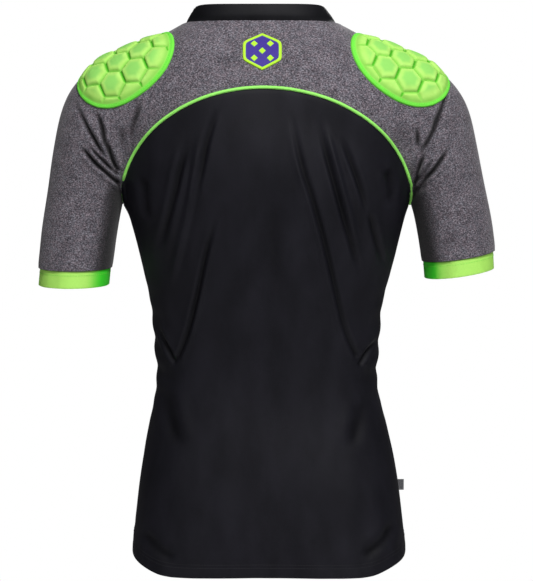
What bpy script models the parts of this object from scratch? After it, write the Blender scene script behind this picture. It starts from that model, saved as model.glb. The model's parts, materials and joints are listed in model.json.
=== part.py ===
"""Padded short-sleeved armour top, held open in the shape it takes when worn.

The worn form is one smooth figure: a stack of body sections joined to two
sleeve axes. Every sewn piece is laid over that figure and given a wall.
Lengths in the tables are millimetres, meshes are made in metres. The wearer's
back faces -Y, the right hand is on +X, and Z is up from the collar's sides.
"""

import math
from typing import NamedTuple

import bpy
import numpy as np
from mathutils import Vector
from mathutils.bvhtree import BVHTree
from mathutils.geometry import delaunay_2d_cdt

MM = 0.001
CLOTH = 1.6
COLLAR_CLOTH = 2.4
CUFF_CLOTH = 2.0
SEAM_GAP = 0.3
COLLAR_GAP = 0.5

ARM_DEPTH = 1.12
CROTCH_BLEND = 9.0
SHOULDER_BLEND = 60.0
CROTCH_Z = -205.0
SHOULDER_Z = -90.0
PARTING = 80.0
PARTING_LOW = -236.0
PARTING_HIGH = -208.0

HEM_BACK = -663.0
HEM_SIDE = -647.0
HEM_FRONT = -642.0
HEM_POWER = 2.1
PANEL_ROWS = 15
PANEL_GRADE = 1.4
YOKE_ROWS = 6
SLEEVE_ROWS = 11
RING_COLUMNS = 24
UNDERARM_BACK = 1
UNDERARM_FRONT = 2
SHOULDER_COLUMNS = 4
NECK_COLUMNS = 16

ARCH_MIDDLE = -5.0
ARCH_TOP = -72.0
FRONT_ARCH_TOP = -125.0
ARCH_POWER = 0.5

NECK_MIDDLE = -6.5
NECK_BACK_Z = 6.0
NECK_SIDE_Z = 0.5
NECK_FRONT_Z = -45.0
COLLAR_TOP_MIDDLE = -8.0
COLLAR_TOP_HALF_WIDTH = 81.0
COLLAR_TOP_BACK = 57.0
COLLAR_TOP_FRONT = 78.0
COLLAR_TOP_BACK_Z = 25.5
COLLAR_TOP_SIDE_Z = 16.0
COLLAR_TOP_FRONT_Z = -27.0
COLLAR_SQUARENESS = 2.5
COLLAR_ROWS = 3

CUFF_HEIGHT = 17.0
CUFF_INSET = 2.4
CUFF_ROWS = 2

PIPING_WIDTH = 4.0
PIPING_HEIGHT = 2.2
PIPING_LIFT = 0.4
PIPING_START = 3
CLOTH_SEARCH = 6.0

PAD_LEAN = math.radians(38.0)
PAD_HALF_LENGTH = 67.0
PAD_HALF_WIDTH = 60.0
PAD_SQUARENESS = 2.2
PAD_OUTLINE = 44
PAD_LIFT = 0.8
PAD_RIM_WIDTH = 6.5
PAD_RIM_TOP = 2.6
PAD_GROOVE_TOP = 3.6
PAD_CELL_EDGE = 7.8
PAD_CELL_TOP = 9.0
CELL_PITCH = 30.0
CELL_GAP = 2.4
CELL_SHOULDER = 3.6
PAD_BASE_STEP = 11.0

BADGE_X = -5.0
BADGE_Z = -36.0
BADGE_WIDTH = 44.0
BADGE_HEIGHT = 48.0
BADGE_THICKNESS = 0.9
BADGE_LIFT = 0.45
BADGE_ROUNDING = 5.0

LABEL_Z = -571.0
LABEL_HEIGHT = 9.5
LABEL_REACH = 8.0
LABEL_THICKNESS = 1.0


class Section(NamedTuple):
    """One level of the body: its width, its reach back and forward, and how square it is."""

    z: float
    middle: float
    half_width: float
    back: float
    front: float
    square: float


class Axis(NamedTuple):
    """One point on the line that runs along the shoulder and down the sleeve."""

    x: float
    y: float
    z: float
    radius: float


class Cuff(NamedTuple):
    """Where one sleeve ends, and how far its outer side is lifted per unit of width."""

    side: int
    x: float
    z: float
    rise: float


class Fold(NamedTuple):
    """A soft ridge (height above 0) or trough seen from behind, through three points."""

    x0: float
    z0: float
    x1: float
    z1: float
    x2: float
    z2: float
    half_width: float
    height: float


class Finish(NamedTuple):
    """Colour and roughness of one material."""

    name: str
    colour: tuple
    roughness: float


BODY = (
    Section(-700, 3.0, 172.5, 118.0, 116.0, 3.0),
    Section(-665, 3.0, 171.5, 117.0, 116.0, 3.0),
    Section(-610, 3.0, 166.5, 113.0, 114.0, 2.6),
    Section(-550, 3.0, 159.5, 106.0, 113.0, 2.5),
    Section(-490, 1.5, 147.5, 95.0, 112.0, 2.4),
    Section(-430, 0.5, 134.5, 86.0, 112.0, 2.35),
    Section(-400, 0.5, 138.5, 86.0, 114.0, 2.35),
    Section(-340, 0.5, 142.5, 92.0, 118.0, 2.35),
    Section(-310, 0.8, 150.0, 97.0, 121.0, 2.35),
    Section(-250, 1.0, 164.5, 105.0, 125.0, 2.35),
    Section(-215, 0.5, 173.0, 110.0, 126.0, 2.35),
    Section(-170, -1.0, 172.0, 112.0, 122.0, 2.35),
    Section(-110, -2.0, 165.0, 107.0, 112.0, 2.35),
    Section(-65, -3.5, 148.0, 98.0, 98.0, 2.35),
    Section(-30, -5.5, 115.0, 84.0, 84.0, 2.35),
    Section(-4, -6.5, 84.0, 67.0, 72.0, 2.35),
    Section(30, -7.0, 66.0, 52.0, 60.0, 2.35),
    Section(60, -7.0, 60.0, 50.0, 58.0, 2.35),
)

ARM = (
    Axis(80, -5, -66, 58),
    Axis(140, -3, -86, 60),
    Axis(187, 0, -107.5, 60),
    Axis(202, 0, -145, 57.5),
    Axis(221.5, 0, -206, 48.5),
    Axis(231.5, 0, -252, 47),
    Axis(236.5, 0, -300, 46),
    Axis(240, 0, -330, 46),
    Axis(243, 0, -370, 46),
)

ARMHOLE_X = 186.0
ARMHOLE_Z = -128.0
ARMHOLE_TILT = 0.11
PADS = {"left": (-1, 171.0), "right": (1, 162.0)}
CUFFS = {
    "left": Cuff(-1, 237.0, -300.0, 0.0),
    "right": Cuff(1, 238.0, -285.0, 0.15),
}

FOLDS = (
    Fold(-64, -95, -72, -140, -78, -175, 9, -2.2),
    Fold(-93, -125, -110, -175, -116, -235, 10, -2.4),
    Fold(-88, -130, -97, -215, -113, -285, 9, 1.8),
    Fold(-70, -240, -92, -345, -114, -415, 9, -2.4),
    Fold(30, -103, 52, -190, 87, -330, 10, -2.4),
    Fold(65, -108, 78, -200, 98, -265, 10, -2.2),
    Fold(92, -125, 112, -180, 126, -265, 9, -2.2),
    Fold(40, -150, 62, -230, 70, -300, 10, 1.8),
    Fold(84, -310, 96, -355, 112, -405, 9, -2.2),
    Fold(-213, -145, -202, -170, -190, -185, 8, -2.2),
    Fold(-207, -118, -200, -145, -192, -172, 8, -1.8),
    Fold(207, -120, 200, -148, 191, -177, 8, -1.8),
    Fold(222, -150, 205, -175, 192, -195, 8, -2.2),
)

BLACK = Finish("black_jersey", (0.013, 0.013, 0.016), 0.72)
HEATHER = Finish("heather_jersey", (0.12, 0.107, 0.12), 0.85)
COLLAR_BLACK = Finish("collar_jersey", (0.011, 0.011, 0.013), 0.78)
FOAM = Finish("lime_foam", (0.30, 0.83, 0.13), 0.55)
LIME = Finish("lime_elastic", (0.27, 0.80, 0.11), 0.6)
BADGE = Finish("badge_weave", (0.045, 0.021, 0.30), 0.7)
LABEL = Finish("label_tape", (0.22, 0.22, 0.23), 0.7)


def spline(knots: np.ndarray, values: np.ndarray, at: np.ndarray) -> np.ndarray:
    """Smooth curve through the rows of a table, held level beyond its ends."""
    slopes = np.gradient(values, knots, axis=0)
    at = np.clip(at, knots[0], knots[-1])
    row = np.clip(np.searchsorted(knots, at) - 1, 0, len(knots) - 2)
    span = (knots[row + 1] - knots[row])[:, None]
    t = (at - knots[row])[:, None] / span
    rise = t * t * (3 - 2 * t)
    start = values[row] * (1 - rise) + values[row + 1] * rise
    lean = slopes[row] * (t - 2 * t * t + t ** 3) + slopes[row + 1] * (t ** 3 - t * t)
    return start + span * lean


BODY_TABLE = np.array(BODY, float)
ARM_TABLE = np.array(ARM, float)
ARM_LINE = spline(
    np.arange(len(ARM), dtype=float), ARM_TABLE, np.linspace(0, len(ARM) - 1, 8 * len(ARM))
)


def unit(vectors: np.ndarray) -> np.ndarray:
    """Vectors of length one."""
    return vectors / np.maximum(np.linalg.norm(vectors, axis=-1, keepdims=True), 1e-9)


def ease(low: float, high: float, value: np.ndarray) -> np.ndarray:
    """Smooth step from 0 at low to 1 at high."""
    t = np.clip((value - low) / (high - low), 0, 1)
    return t * t * (3 - 2 * t)


def arm_distance(points: np.ndarray) -> np.ndarray:
    """Distance out of the nearer sleeve form, negative inside."""
    spot = points.copy()
    spot[:, 1] /= ARM_DEPTH
    start = ARM_LINE[None, :-1, :3]
    run = ARM_LINE[None, 1:, :3] - start
    away = spot[:, None, :] - start
    t = np.clip((away * run).sum(2) / (run * run).sum(2), 0, 1)
    radius = ARM_LINE[None, :-1, 3] * (1 - t) + ARM_LINE[None, 1:, 3] * t
    return (np.linalg.norm(away - run * t[:, :, None], axis=2) - radius).min(1)


def figure(points: np.ndarray, form: str = "whole") -> np.ndarray:
    """Distance out of the worn form, about true near it and negative inside.

    Args:
        points: where to measure.
        form: "whole", or "body" or "sleeve" to leave the other out below the underarm.
    """
    rows = spline(BODY_TABLE[:, 0], BODY_TABLE[:, 1:], points[:, 2])
    x = points[:, 0] - rows[:, 0]
    y = points[:, 1]
    depth = np.where(y < 0, rows[:, 2], rows[:, 3])
    square = rows[:, 4]
    share = (np.abs(x) / rows[:, 1]) ** square + (np.abs(y) / depth) ** square
    body = np.hypot(x, y) * (1 - 1 / np.maximum(share, 1e-9) ** (1 / square))
    arm = arm_distance(np.stack((np.abs(x), y, points[:, 2]), axis=1))
    apart = PARTING * (1 - ease(PARTING_LOW, PARTING_HIGH, points[:, 2]))
    if form == "body":
        arm = arm + apart
    if form == "sleeve":
        body = body + apart
    grow = ease(CROTCH_Z, SHOULDER_Z, points[:, 2])
    blend = CROTCH_BLEND + (SHOULDER_BLEND - CROTCH_BLEND) * grow
    overlap = np.maximum(blend - np.abs(body - arm), 0) / blend
    return np.minimum(body, arm) - overlap * overlap * blend / 4


def slope(points: np.ndarray, form: str = "whole") -> np.ndarray:
    """Direction in which the distance grows, by small steps."""
    result = np.empty_like(points)
    for axis in range(3):
        step = np.zeros(3)
        step[axis] = 0.3
        result[:, axis] = (figure(points + step, form) - figure(points - step, form)) / 0.6
    return result


def normals_at(points: np.ndarray, form: str = "whole") -> np.ndarray:
    """Outward directions of the figure, for points of any grid shape."""
    return unit(slope(points.reshape(-1, 3), form)).reshape(points.shape)


def settle(points: np.ndarray, passes: int = 8, form: str = "whole") -> np.ndarray:
    """Moves points the short way onto the figure."""
    for _ in range(passes):
        grade = slope(points, form)
        size = np.maximum((grade * grade).sum(1, keepdims=True), 0.25)
        points = points - figure(points, form)[:, None] * grade / size
    return points


def cast(starts: np.ndarray, directions: np.ndarray, reach: float) -> np.ndarray:
    """First way out of the figure along rays that start inside it."""
    near = np.zeros(len(starts))
    far = np.full(len(starts), reach)
    found = np.zeros(len(starts), bool)
    for step in np.arange(2.0, reach, 2.0):
        out = (figure(starts + directions * step) > 0) & ~found
        far[out] = step
        near[out] = step - 2.0
        found |= out
    for _ in range(26):
        middle = (near + far) / 2
        out = figure(starts + directions * middle[:, None]) > 0
        far = np.where(out, middle, far)
        near = np.where(out, near, middle)
    return starts + directions * near[:, None]


def even(points: np.ndarray, count: int) -> np.ndarray:
    """The same curve in count equal steps."""
    steps = np.linalg.norm(np.diff(points, axis=0), axis=1)
    run = np.concatenate(([0.0], np.cumsum(steps)))
    at = np.linspace(0, run[-1], count + 1)
    return np.stack([np.interp(at, run, points[:, axis]) for axis in range(3)], axis=1)


def bridge(
    start: np.ndarray, end: np.ndarray, rows: int, form: str, grade: float = 1.0
) -> np.ndarray:
    """Rows of points laid over the figure from one edge to another.

    Args:
        start: points of the first edge.
        end: as many points of the last edge.
        rows: number of steps between them.
        form: the part of the figure to lie on.
        grade: above 1, the first rows are closer together.
    """
    at = np.linspace(0, 1, rows + 1) ** grade
    grid = [start]
    for k in range(1, rows):
        share = (at[k] - at[k - 1]) / (1 - at[k - 1])
        grid.append(settle(grid[-1] + (end - grid[-1]) * share, 6, form))
    grid.append(end)
    grid = np.array(grid)
    share = ((at[1:-1] - at[:-2]) / (at[2:] - at[:-2]))[:, None, None]
    for _ in range(12):
        middle = grid[:-2] * (1 - share) + grid[2:] * share
        grid[1:-1] = settle(middle.reshape(-1, 3), 2, form).reshape(middle.shape)
    return grid


def fold_height(points: np.ndarray, normals: np.ndarray) -> np.ndarray:
    """How far the folds move points out along their normals."""
    flat = points.reshape(-1, 3)
    total = np.zeros(len(flat))
    for fold in FOLDS:
        t = np.linspace(0, 1, 25)[None, :]
        first = (1 - t) * (1 - 2 * t)
        second = 4 * t * (1 - t)
        third = t * (2 * t - 1)
        x = fold.x0 * first + fold.x1 * second + fold.x2 * third
        z = fold.z0 * first + fold.z1 * second + fold.z2 * third
        apart = np.hypot(flat[:, :1] - x, flat[:, 2:] - z)
        nearest = apart.argmin(1)
        along = t[0, nearest]
        swell = ease(0, 0.25, along) * (1 - ease(0.7, 1.0, along))
        total += fold.height * swell * np.exp(-(apart.min(1) / fold.half_width) ** 2)
    facing = ease(0.15, 0.6, np.abs(normals.reshape(-1, 3)[:, 1]))
    return (total * facing).reshape(points.shape[:-1])


def material(finish: Finish) -> bpy.types.Material:
    """The material of a finish, made once."""
    made = bpy.data.materials.get(finish.name)
    if made is None:
        made = bpy.data.materials.new(finish.name)
        made.use_nodes = True
        shader = made.node_tree.nodes["Principled BSDF"]
        shader.inputs["Base Color"].default_value = (*finish.colour, 1.0)
        shader.inputs["Roughness"].default_value = finish.roughness
        shader.inputs["Metallic"].default_value = 0.0
        made.diffuse_color = (*finish.colour, 1.0)
    return made


def solid(name: str, points: np.ndarray, faces: list, finish: Finish) -> bpy.types.Object:
    """A named object from points in millimetres and faces that all point one way."""
    volume = 0.0
    for face in faces:
        for k in range(1, len(face) - 1):
            volume += points[face[0]] @ np.cross(points[face[k]], points[face[k + 1]])
    if volume < 0:
        faces = [tuple(reversed(face)) for face in faces]
    mesh = bpy.data.meshes.new(name)
    mesh.from_pydata([tuple(point) for point in points * MM], [], faces)
    mesh.materials.append(material(finish))
    mesh.update()
    made = bpy.data.objects.new(name, mesh)
    bpy.context.scene.collection.objects.link(made)
    return made


def weld(grids: list, normals_of: list) -> tuple:
    """Joins grids of points where they meet.

    Returns:
        The points, their normals, and faces that point out.
    """
    points = []
    normals = []
    known = {}
    faces = []
    for grid, facing in zip(grids, normals_of):
        index = np.empty(grid.shape[:2], int)
        for spot in np.ndindex(index.shape):
            key = tuple(np.round(grid[spot], 3))
            if key not in known:
                known[key] = len(points)
                points.append(grid[spot])
                normals.append(facing[spot])
            index[spot] = known[key]
        side = np.cross(grid[:-1, 1:] - grid[:-1, :-1], grid[1:, :-1] - grid[:-1, :-1])
        outward = (side * facing[:-1, :-1]).sum() > 0
        for r in range(index.shape[0] - 1):
            for c in range(index.shape[1] - 1):
                face = [index[r, c], index[r, c + 1], index[r + 1, c + 1], index[r + 1, c]]
                face = [int(k) for n, k in enumerate(face) if k != face[n - 1]]
                if len(set(face)) > 2:
                    faces.append(tuple(face) if outward else tuple(reversed(face)))
    return np.array(points), np.array(normals), faces


def open_edges(faces: list) -> dict:
    """The edges with a face on one side only, each as start and end in its face's order."""
    edges = set()
    for face in faces:
        for k, corner in enumerate(face):
            edges.add((corner, face[(k + 1) % len(face)]))
    return {a: b for a, b in edges if (b, a) not in edges}


def stand_back(points: np.ndarray, normals: np.ndarray, rim: dict, amount: float) -> np.ndarray:
    """Moves the open edges into their own piece, with mitred corners."""
    before = {b: a for a, b in rim.items()}
    result = points.copy()
    for here, after in rim.items():
        one = unit(np.cross(normals[here], points[here] - points[before[here]]))
        two = unit(np.cross(normals[here], points[after] - points[here]))
        result[here] += amount * (one + two) / max(1 + float(one @ two), 0.15)
    return result


def shell(name: str, sheet: tuple, thickness: float, finish: Finish) -> bpy.types.Object:
    """A closed wall from an outer sheet of points, normals and faces."""
    outer, normals, faces = sheet
    below = len(outer)
    result = list(faces)
    result += [tuple(below + corner for corner in reversed(face)) for face in faces]
    for a, b in open_edges(faces).items():
        result.append((b, a, below + a, below + b))
    return solid(name, np.concatenate((outer, outer - normals * thickness)), result, finish)


def cloth(name: str, grids: list, form: str, finish: Finish) -> bpy.types.Object:
    """A sewn panel: welded grids that stand back from their seams, with folds and a wall."""
    points, normals, faces = weld(grids, [normals_at(grid, form) for grid in grids])
    points = stand_back(points, normals, open_edges(faces), SEAM_GAP / 2)
    normals = normals_at(points, form)
    points = points + normals * fold_height(points, normals)[:, None]
    return shell(name, (points, normals, faces), CLOTH, finish)


def joined(grid: np.ndarray) -> np.ndarray:
    """A grid that runs all the way round, with its first column again at the end."""
    return np.concatenate((grid, grid[:, :1]), axis=1)


def ring(side: int, centre: tuple, rise: float, upright: bool) -> np.ndarray:
    """A closed section of the figure about one arm.

    It starts on the side next to the body and runs round by the back.
    """
    first = np.array((rise, 0.0, 1.0)) if upright else np.array((1.0, 0.0, rise))
    first = unit(first) * np.array((side, 1.0, 1.0))
    angle = np.arange(RING_COLUMNS) * 2 * math.pi / RING_COLUMNS
    ways = -np.cos(angle)[:, None] * first - np.sin(angle)[:, None] * np.array((0.0, 1.0, 0.0))
    starts = np.repeat(np.array(centre)[None] * np.array((side, 1.0, 1.0)), RING_COLUMNS, axis=0)
    return cast(starts, ways, 150.0)


def armhole(side: int) -> np.ndarray:
    """The seam between a sleeve and the body, from the underarm round by the back."""
    return ring(side, (ARMHOLE_X, 0.0, ARMHOLE_Z), ARMHOLE_TILT, True)


def arch(left: np.ndarray, right: np.ndarray, top: float, facing: int, count: int) -> np.ndarray:
    """The curved seam under the yoke, from one armhole to the other.

    Args:
        left: its end on the left armhole.
        right: its end on the right armhole.
        top: height of its middle.
        facing: -1 on the back, 1 on the front.
        count: number of steps.
    """
    turn = np.linspace(-math.pi / 2, math.pi / 2, 240)
    u = np.sin(turn)
    end = np.where(u[:, None] < 0, left[None], right[None])
    x = ARCH_MIDDLE + np.abs(u) * (end[:, 0] - ARCH_MIDDLE)
    z = top - (top - end[:, 2]) * (1 - (1 - u * u) ** ARCH_POWER)
    starts = np.stack((x, np.zeros_like(x), z), axis=1)
    ways = np.repeat(np.array((0.0, float(facing), 0.0))[None], len(x), axis=0)
    line = cast(starts, ways, 170.0)
    line[0] = left
    line[-1] = right
    line = even(line, count)
    line[1:-1] = settle(line[1:-1])
    return line


def hem(facing: int, count: int) -> np.ndarray:
    """The lower edge of a panel from the left side seam to the right one."""
    turn = np.linspace(0, math.pi, 240)
    low = HEM_BACK if facing < 0 else HEM_FRONT
    z = HEM_SIDE + (low - HEM_SIDE) * (1 - (1 - np.sin(turn)) ** HEM_POWER)
    starts = np.stack((np.full_like(z, BODY[0].middle), np.zeros_like(z), z), axis=1)
    ways = np.stack((-np.cos(turn), facing * np.sin(turn), np.zeros_like(z)), axis=1)
    return even(cast(starts, ways, 260.0), count)


def neck_point(angle: np.ndarray) -> np.ndarray:
    """Points of the collar seam, by angle about the neck."""
    back = 1 - (1 - np.maximum(-np.sin(angle), 0)) ** 3
    front = np.maximum(np.sin(angle), 0) ** 2
    z = NECK_SIDE_Z + (NECK_BACK_Z - NECK_SIDE_Z) * back + (NECK_FRONT_Z - NECK_SIDE_Z) * front
    starts = np.stack((np.full_like(z, NECK_MIDDLE), np.zeros_like(z), z), axis=1)
    ways = np.stack((np.cos(angle), np.sin(angle), np.zeros_like(z)), axis=1)
    return cast(starts, ways, 160.0)


def over_shoulder(hole: np.ndarray, side: int) -> np.ndarray:
    """The line from a shoulder's end to the neck seam."""
    neck = neck_point(np.array((0.0 if side > 0 else math.pi,)))[0]
    share = np.linspace(0, 1, SHOULDER_COLUMNS + 1)[:, None]
    line = hole[RING_COLUMNS // 2] * (1 - share) + neck * share
    line[1:-1] = settle(line[1:-1])
    return line


def yoke_top(holes: dict, facing: int, under: int) -> np.ndarray:
    """The upper edge of half of the yoke, by way of the armholes, shoulders and neck."""
    turn = np.linspace(math.pi, 2 * math.pi, NECK_COLUMNS + 1)
    neck = neck_point(turn if facing < 0 else 2 * math.pi - turn)
    index = [-facing * k % RING_COLUMNS for k in range(under, RING_COLUMNS // 2)]
    left = np.concatenate((holes["left"][index], over_shoulder(holes["left"], -1)[:-1]))
    right = np.concatenate((holes["right"][index], over_shoulder(holes["right"], 1)[:-1]))
    return np.concatenate((left, neck, right[::-1]))


def build_body() -> np.ndarray:
    """Makes the panels, yoke, sleeves and cuffs.

    Returns:
        The line of the back arch seam, for the piping.
    """
    holes = {"left": armhole(-1), "right": armhole(1)}
    halves = []
    seams = {}
    for name, facing, top, under in (
        ("back_panel", -1, ARCH_TOP, UNDERARM_BACK),
        ("front_panel", 1, FRONT_ARCH_TOP, UNDERARM_FRONT),
    ):
        upper = yoke_top(holes, facing, under)
        seam = arch(upper[0], upper[-1], top, facing, len(upper) - 1)
        seams[name] = seam
        halves.append(bridge(upper, seam, YOKE_ROWS, "whole"))
        index = [-facing * k % RING_COLUMNS for k in range(under)]
        edge = np.concatenate((holes["left"][index], seam, holes["right"][index][::-1]))
        grid = bridge(edge, hem(facing, len(edge) - 1), PANEL_ROWS, "body", PANEL_GRADE)
        cloth(name, [grid], "body", BLACK)
    cloth("yoke", halves, "whole", HEATHER)
    for name, cuff in CUFFS.items():
        end = ring(cuff.side, (cuff.x, 0.0, cuff.z), cuff.rise, False)
        grid = bridge(holes[name], end, SLEEVE_ROWS, "sleeve")
        cloth("sleeve_" + name, [joined(grid)], "sleeve", HEATHER)
        build_cuff("cuff_" + name, cuff)
    return seams["back_panel"]


def build_cuff(name: str, cuff: Cuff) -> bpy.types.Object:
    """An elastic band below the end of a sleeve, a little tighter than it."""
    down = unit(np.array((cuff.rise, 0.0, -1.0)))
    rows = []
    for share in np.linspace(0, 1, CUFF_ROWS + 1):
        step = SEAM_GAP + CUFF_HEIGHT * share
        centre = np.array((cuff.x, 0.0, cuff.z)) + down * step
        rows.append(ring(cuff.side, tuple(centre), cuff.rise, False))
    grid = np.array(rows)
    normals = normals_at(grid, "sleeve")
    axis = down * np.array((cuff.side, 1.0, 1.0))
    normals = unit(normals - (normals * axis).sum(2, keepdims=True) * axis)
    sheet = weld([joined(grid - normals * CUFF_INSET)], [joined(normals)])
    return shell(name, sheet, CUFF_CLOTH, LIME)


def build_collar() -> bpy.types.Object:
    """A low stand collar that rises from the neck seam and leans in."""
    angle = np.arange(2 * NECK_COLUMNS) * math.pi / NECK_COLUMNS
    foot = neck_point(angle)
    back = 1 - (1 - np.maximum(-np.sin(angle), 0)) ** 3
    front = np.maximum(np.sin(angle), 0) ** 2
    z = COLLAR_TOP_SIDE_Z + (COLLAR_TOP_BACK_Z - COLLAR_TOP_SIDE_Z) * back
    z = z + (COLLAR_TOP_FRONT_Z - COLLAR_TOP_SIDE_Z) * front
    depth = np.where(np.sin(angle) < 0, COLLAR_TOP_BACK, COLLAR_TOP_FRONT)
    power = 2 / COLLAR_SQUARENESS
    x = COLLAR_TOP_MIDDLE
    x = x + COLLAR_TOP_HALF_WIDTH * np.sign(np.cos(angle)) * np.abs(np.cos(angle)) ** power
    y = depth * np.sign(np.sin(angle)) * np.abs(np.sin(angle)) ** power
    top = np.stack((x, y, z), axis=1)
    rise = unit(top - foot)
    around = unit(np.roll(foot, -1, axis=0) - np.roll(foot, 1, axis=0))
    out = unit(np.cross(around, rise))
    if (out[0] * (foot[0] - foot.mean(0))).sum() < 0:
        out = -out
    low = normals_at(foot)
    start = foot + rise * COLLAR_GAP + low * (COLLAR_CLOTH - CLOTH) / 2
    rows = []
    normals = []
    for share in np.linspace(0, 1, COLLAR_ROWS + 1):
        bow = 1.5 * math.sin(math.pi * share)
        rows.append(start * (1 - share) + top * share + out * bow)
        normals.append(unit(low * (1 - share) + out * share))
    sheet = weld([joined(np.array(rows))], [joined(np.array(normals))])
    return shell("collar", sheet, COLLAR_CLOTH, COLLAR_BLACK)


def on_cloth(points: np.ndarray, normals: np.ndarray) -> np.ndarray:
    """Moves points along their normals onto the outer side of the back and yoke."""
    trees = []
    for name in ("back_panel", "yoke"):
        mesh = bpy.data.objects[name].data
        corners = [vertex.co / MM for vertex in mesh.vertices]
        trees.append(BVHTree.FromPolygons(corners, [tuple(face.vertices) for face in mesh.polygons]))
    result = []
    for point, normal in zip(points, normals):
        start = Vector(point + normal * CLOTH_SEARCH)
        hits = [tree.ray_cast(start, Vector(-normal), 2 * CLOTH_SEARCH)[3] for tree in trees]
        near = min((hit for hit in hits if hit is not None), default=CLOTH_SEARCH)
        result.append(point + normal * (CLOTH_SEARCH - near))
    return np.array(result)


def build_piping(line: np.ndarray) -> bpy.types.Object:
    """A half-round cord that lies on the back arch seam."""
    line = line[PIPING_START:-PIPING_START]
    normals = normals_at(line)
    across = unit(np.cross(normals, np.gradient(line, axis=0)))
    rows = []
    for angle in np.linspace(0, math.pi, 6):
        bed = on_cloth(line + across * (math.cos(angle) * PIPING_WIDTH / 2), normals)
        rows.append(bed + normals * (PIPING_LIFT + math.sin(angle) * PIPING_HEIGHT))
    count = len(line)
    sides = len(rows)
    points = np.array(rows).transpose(1, 0, 2).reshape(-1, 3)
    faces = []
    for k in range(count - 1):
        for s in range(sides):
            a = k * sides + s
            b = k * sides + (s + 1) % sides
            faces.append((a, b, b + sides, a + sides))
    faces.append(tuple(range(sides - 1, -1, -1)))
    faces.append(tuple((count - 1) * sides + s for s in range(sides)))
    return solid("piping", points, faces, LIME)


def walk(start: np.ndarray, along: np.ndarray, across: np.ndarray, flat: np.ndarray) -> np.ndarray:
    """Carries points of a flat pattern out over the figure from one spot."""
    reach = np.hypot(flat[:, 0], flat[:, 1])[:, None]
    heading = unit(flat[:, :1] * along + flat[:, 1:] * across)
    points = np.repeat(start[None], len(flat), axis=0)
    for _ in range(10):
        points = settle(points + heading * reach / 10, 3)
        normals = normals_at(points)
        heading = unit(heading - (heading * normals).sum(1, keepdims=True) * normals)
    return points


def clip(polygon: list, point: tuple, normal: tuple) -> list:
    """The part of a convex polygon on the side that a normal points away from."""
    kept = []
    for k, here in enumerate(polygon):
        there = polygon[(k + 1) % len(polygon)]
        a = (here[0] - point[0]) * normal[0] + (here[1] - point[1]) * normal[1]
        b = (there[0] - point[0]) * normal[0] + (there[1] - point[1]) * normal[1]
        if a <= 0:
            kept.append(here)
        if (a < 0 < b) or (b < 0 < a):
            t = a / (a - b)
            kept.append((here[0] + (there[0] - here[0]) * t, here[1] + (there[1] - here[1]) * t))
    return kept


def shrunk(polygon: list, amount: float) -> list:
    """A convex polygon with every edge moved in, short edges dropped."""
    result = list(polygon)
    for k, here in enumerate(polygon):
        there = polygon[(k + 1) % len(polygon)]
        run = (there[0] - here[0], there[1] - here[1])
        size = math.hypot(*run)
        if size < 1e-6:
            continue
        out = (run[1] / size, -run[0] / size)
        result = clip(result, (here[0] - out[0] * amount, here[1] - out[1] * amount), out)
    return [
        spot for k, spot in enumerate(result)
        if math.dist(spot, result[k - 1]) > 1.2
    ]


def area(polygon: list) -> float:
    """Area of a polygon, above 0 when it runs counter-clockwise."""
    total = 0.0
    for k, here in enumerate(polygon):
        there = polygon[(k + 1) % len(polygon)]
        total += here[0] * there[1] - here[1] * there[0]
    return total / 2


def oval(half_length: float, half_width: float, count: int) -> list:
    """A rounded outline, counter-clockwise."""
    power = 2 / PAD_SQUARENESS
    spots = []
    for k in range(count):
        angle = 2 * math.pi * k / count
        c = math.cos(angle)
        s = math.sin(angle)
        x = half_length * math.copysign(abs(c) ** power, c)
        spots.append((x, half_width * math.copysign(abs(s) ** power, s)))
    return spots


def cells() -> list:
    """Hexagon outlines inside the rim of a pad, cut off where they meet it."""
    inner = oval(PAD_HALF_LENGTH - PAD_RIM_WIDTH, PAD_HALF_WIDTH - PAD_RIM_WIDTH, PAD_OUTLINE)
    radius = CELL_PITCH / math.sqrt(3)
    found = []
    for row in range(-3, 4):
        for column in range(-4, 5):
            cx = (column + 0.5 * (row % 2)) * CELL_PITCH
            cy = row * CELL_PITCH * math.sqrt(3) / 2
            hexagon = []
            for k in range(6):
                angle = math.radians(60 * k + 30)
                hexagon.append((cx + radius * math.cos(angle), cy + radius * math.sin(angle)))
            for k, here in enumerate(inner):
                there = inner[(k + 1) % len(inner)]
                run = (there[0] - here[0], there[1] - here[1])
                hexagon = clip(hexagon, here, (run[1], -run[0]))
            hexagon = [
                spot for k, spot in enumerate(hexagon)
                if math.dist(spot, hexagon[k - 1]) > 0.5
            ]
            if len(hexagon) > 2 and area(hexagon) > 140:
                found.append(hexagon)
    return found


class Sheet:
    """A flat set of points with heights, and the edges between them to keep."""

    def __init__(self) -> None:
        self.spots = []
        self.heights = []
        self.edges = []

    def loop(self, polygon: list, height: float) -> None:
        """Adds a closed line at one height."""
        start = len(self.spots)
        for k, spot in enumerate(polygon):
            self.spots.append(spot)
            self.heights.append(height)
            self.edges.append((start + k, start + (k + 1) % len(polygon)))

    def dot(self, spot: tuple, height: float) -> None:
        """Adds one point."""
        self.spots.append(spot)
        self.heights.append(height)

    def faces(self) -> list:
        """Triangles between all the points, counter-clockwise."""
        flat = [Vector(spot) for spot in self.spots]
        made = delaunay_2d_cdt(flat, self.edges, [], 0, 1e-4)
        sources = made[3]
        return [tuple(sources[corner][0] for corner in face) for face in made[2]]


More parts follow.
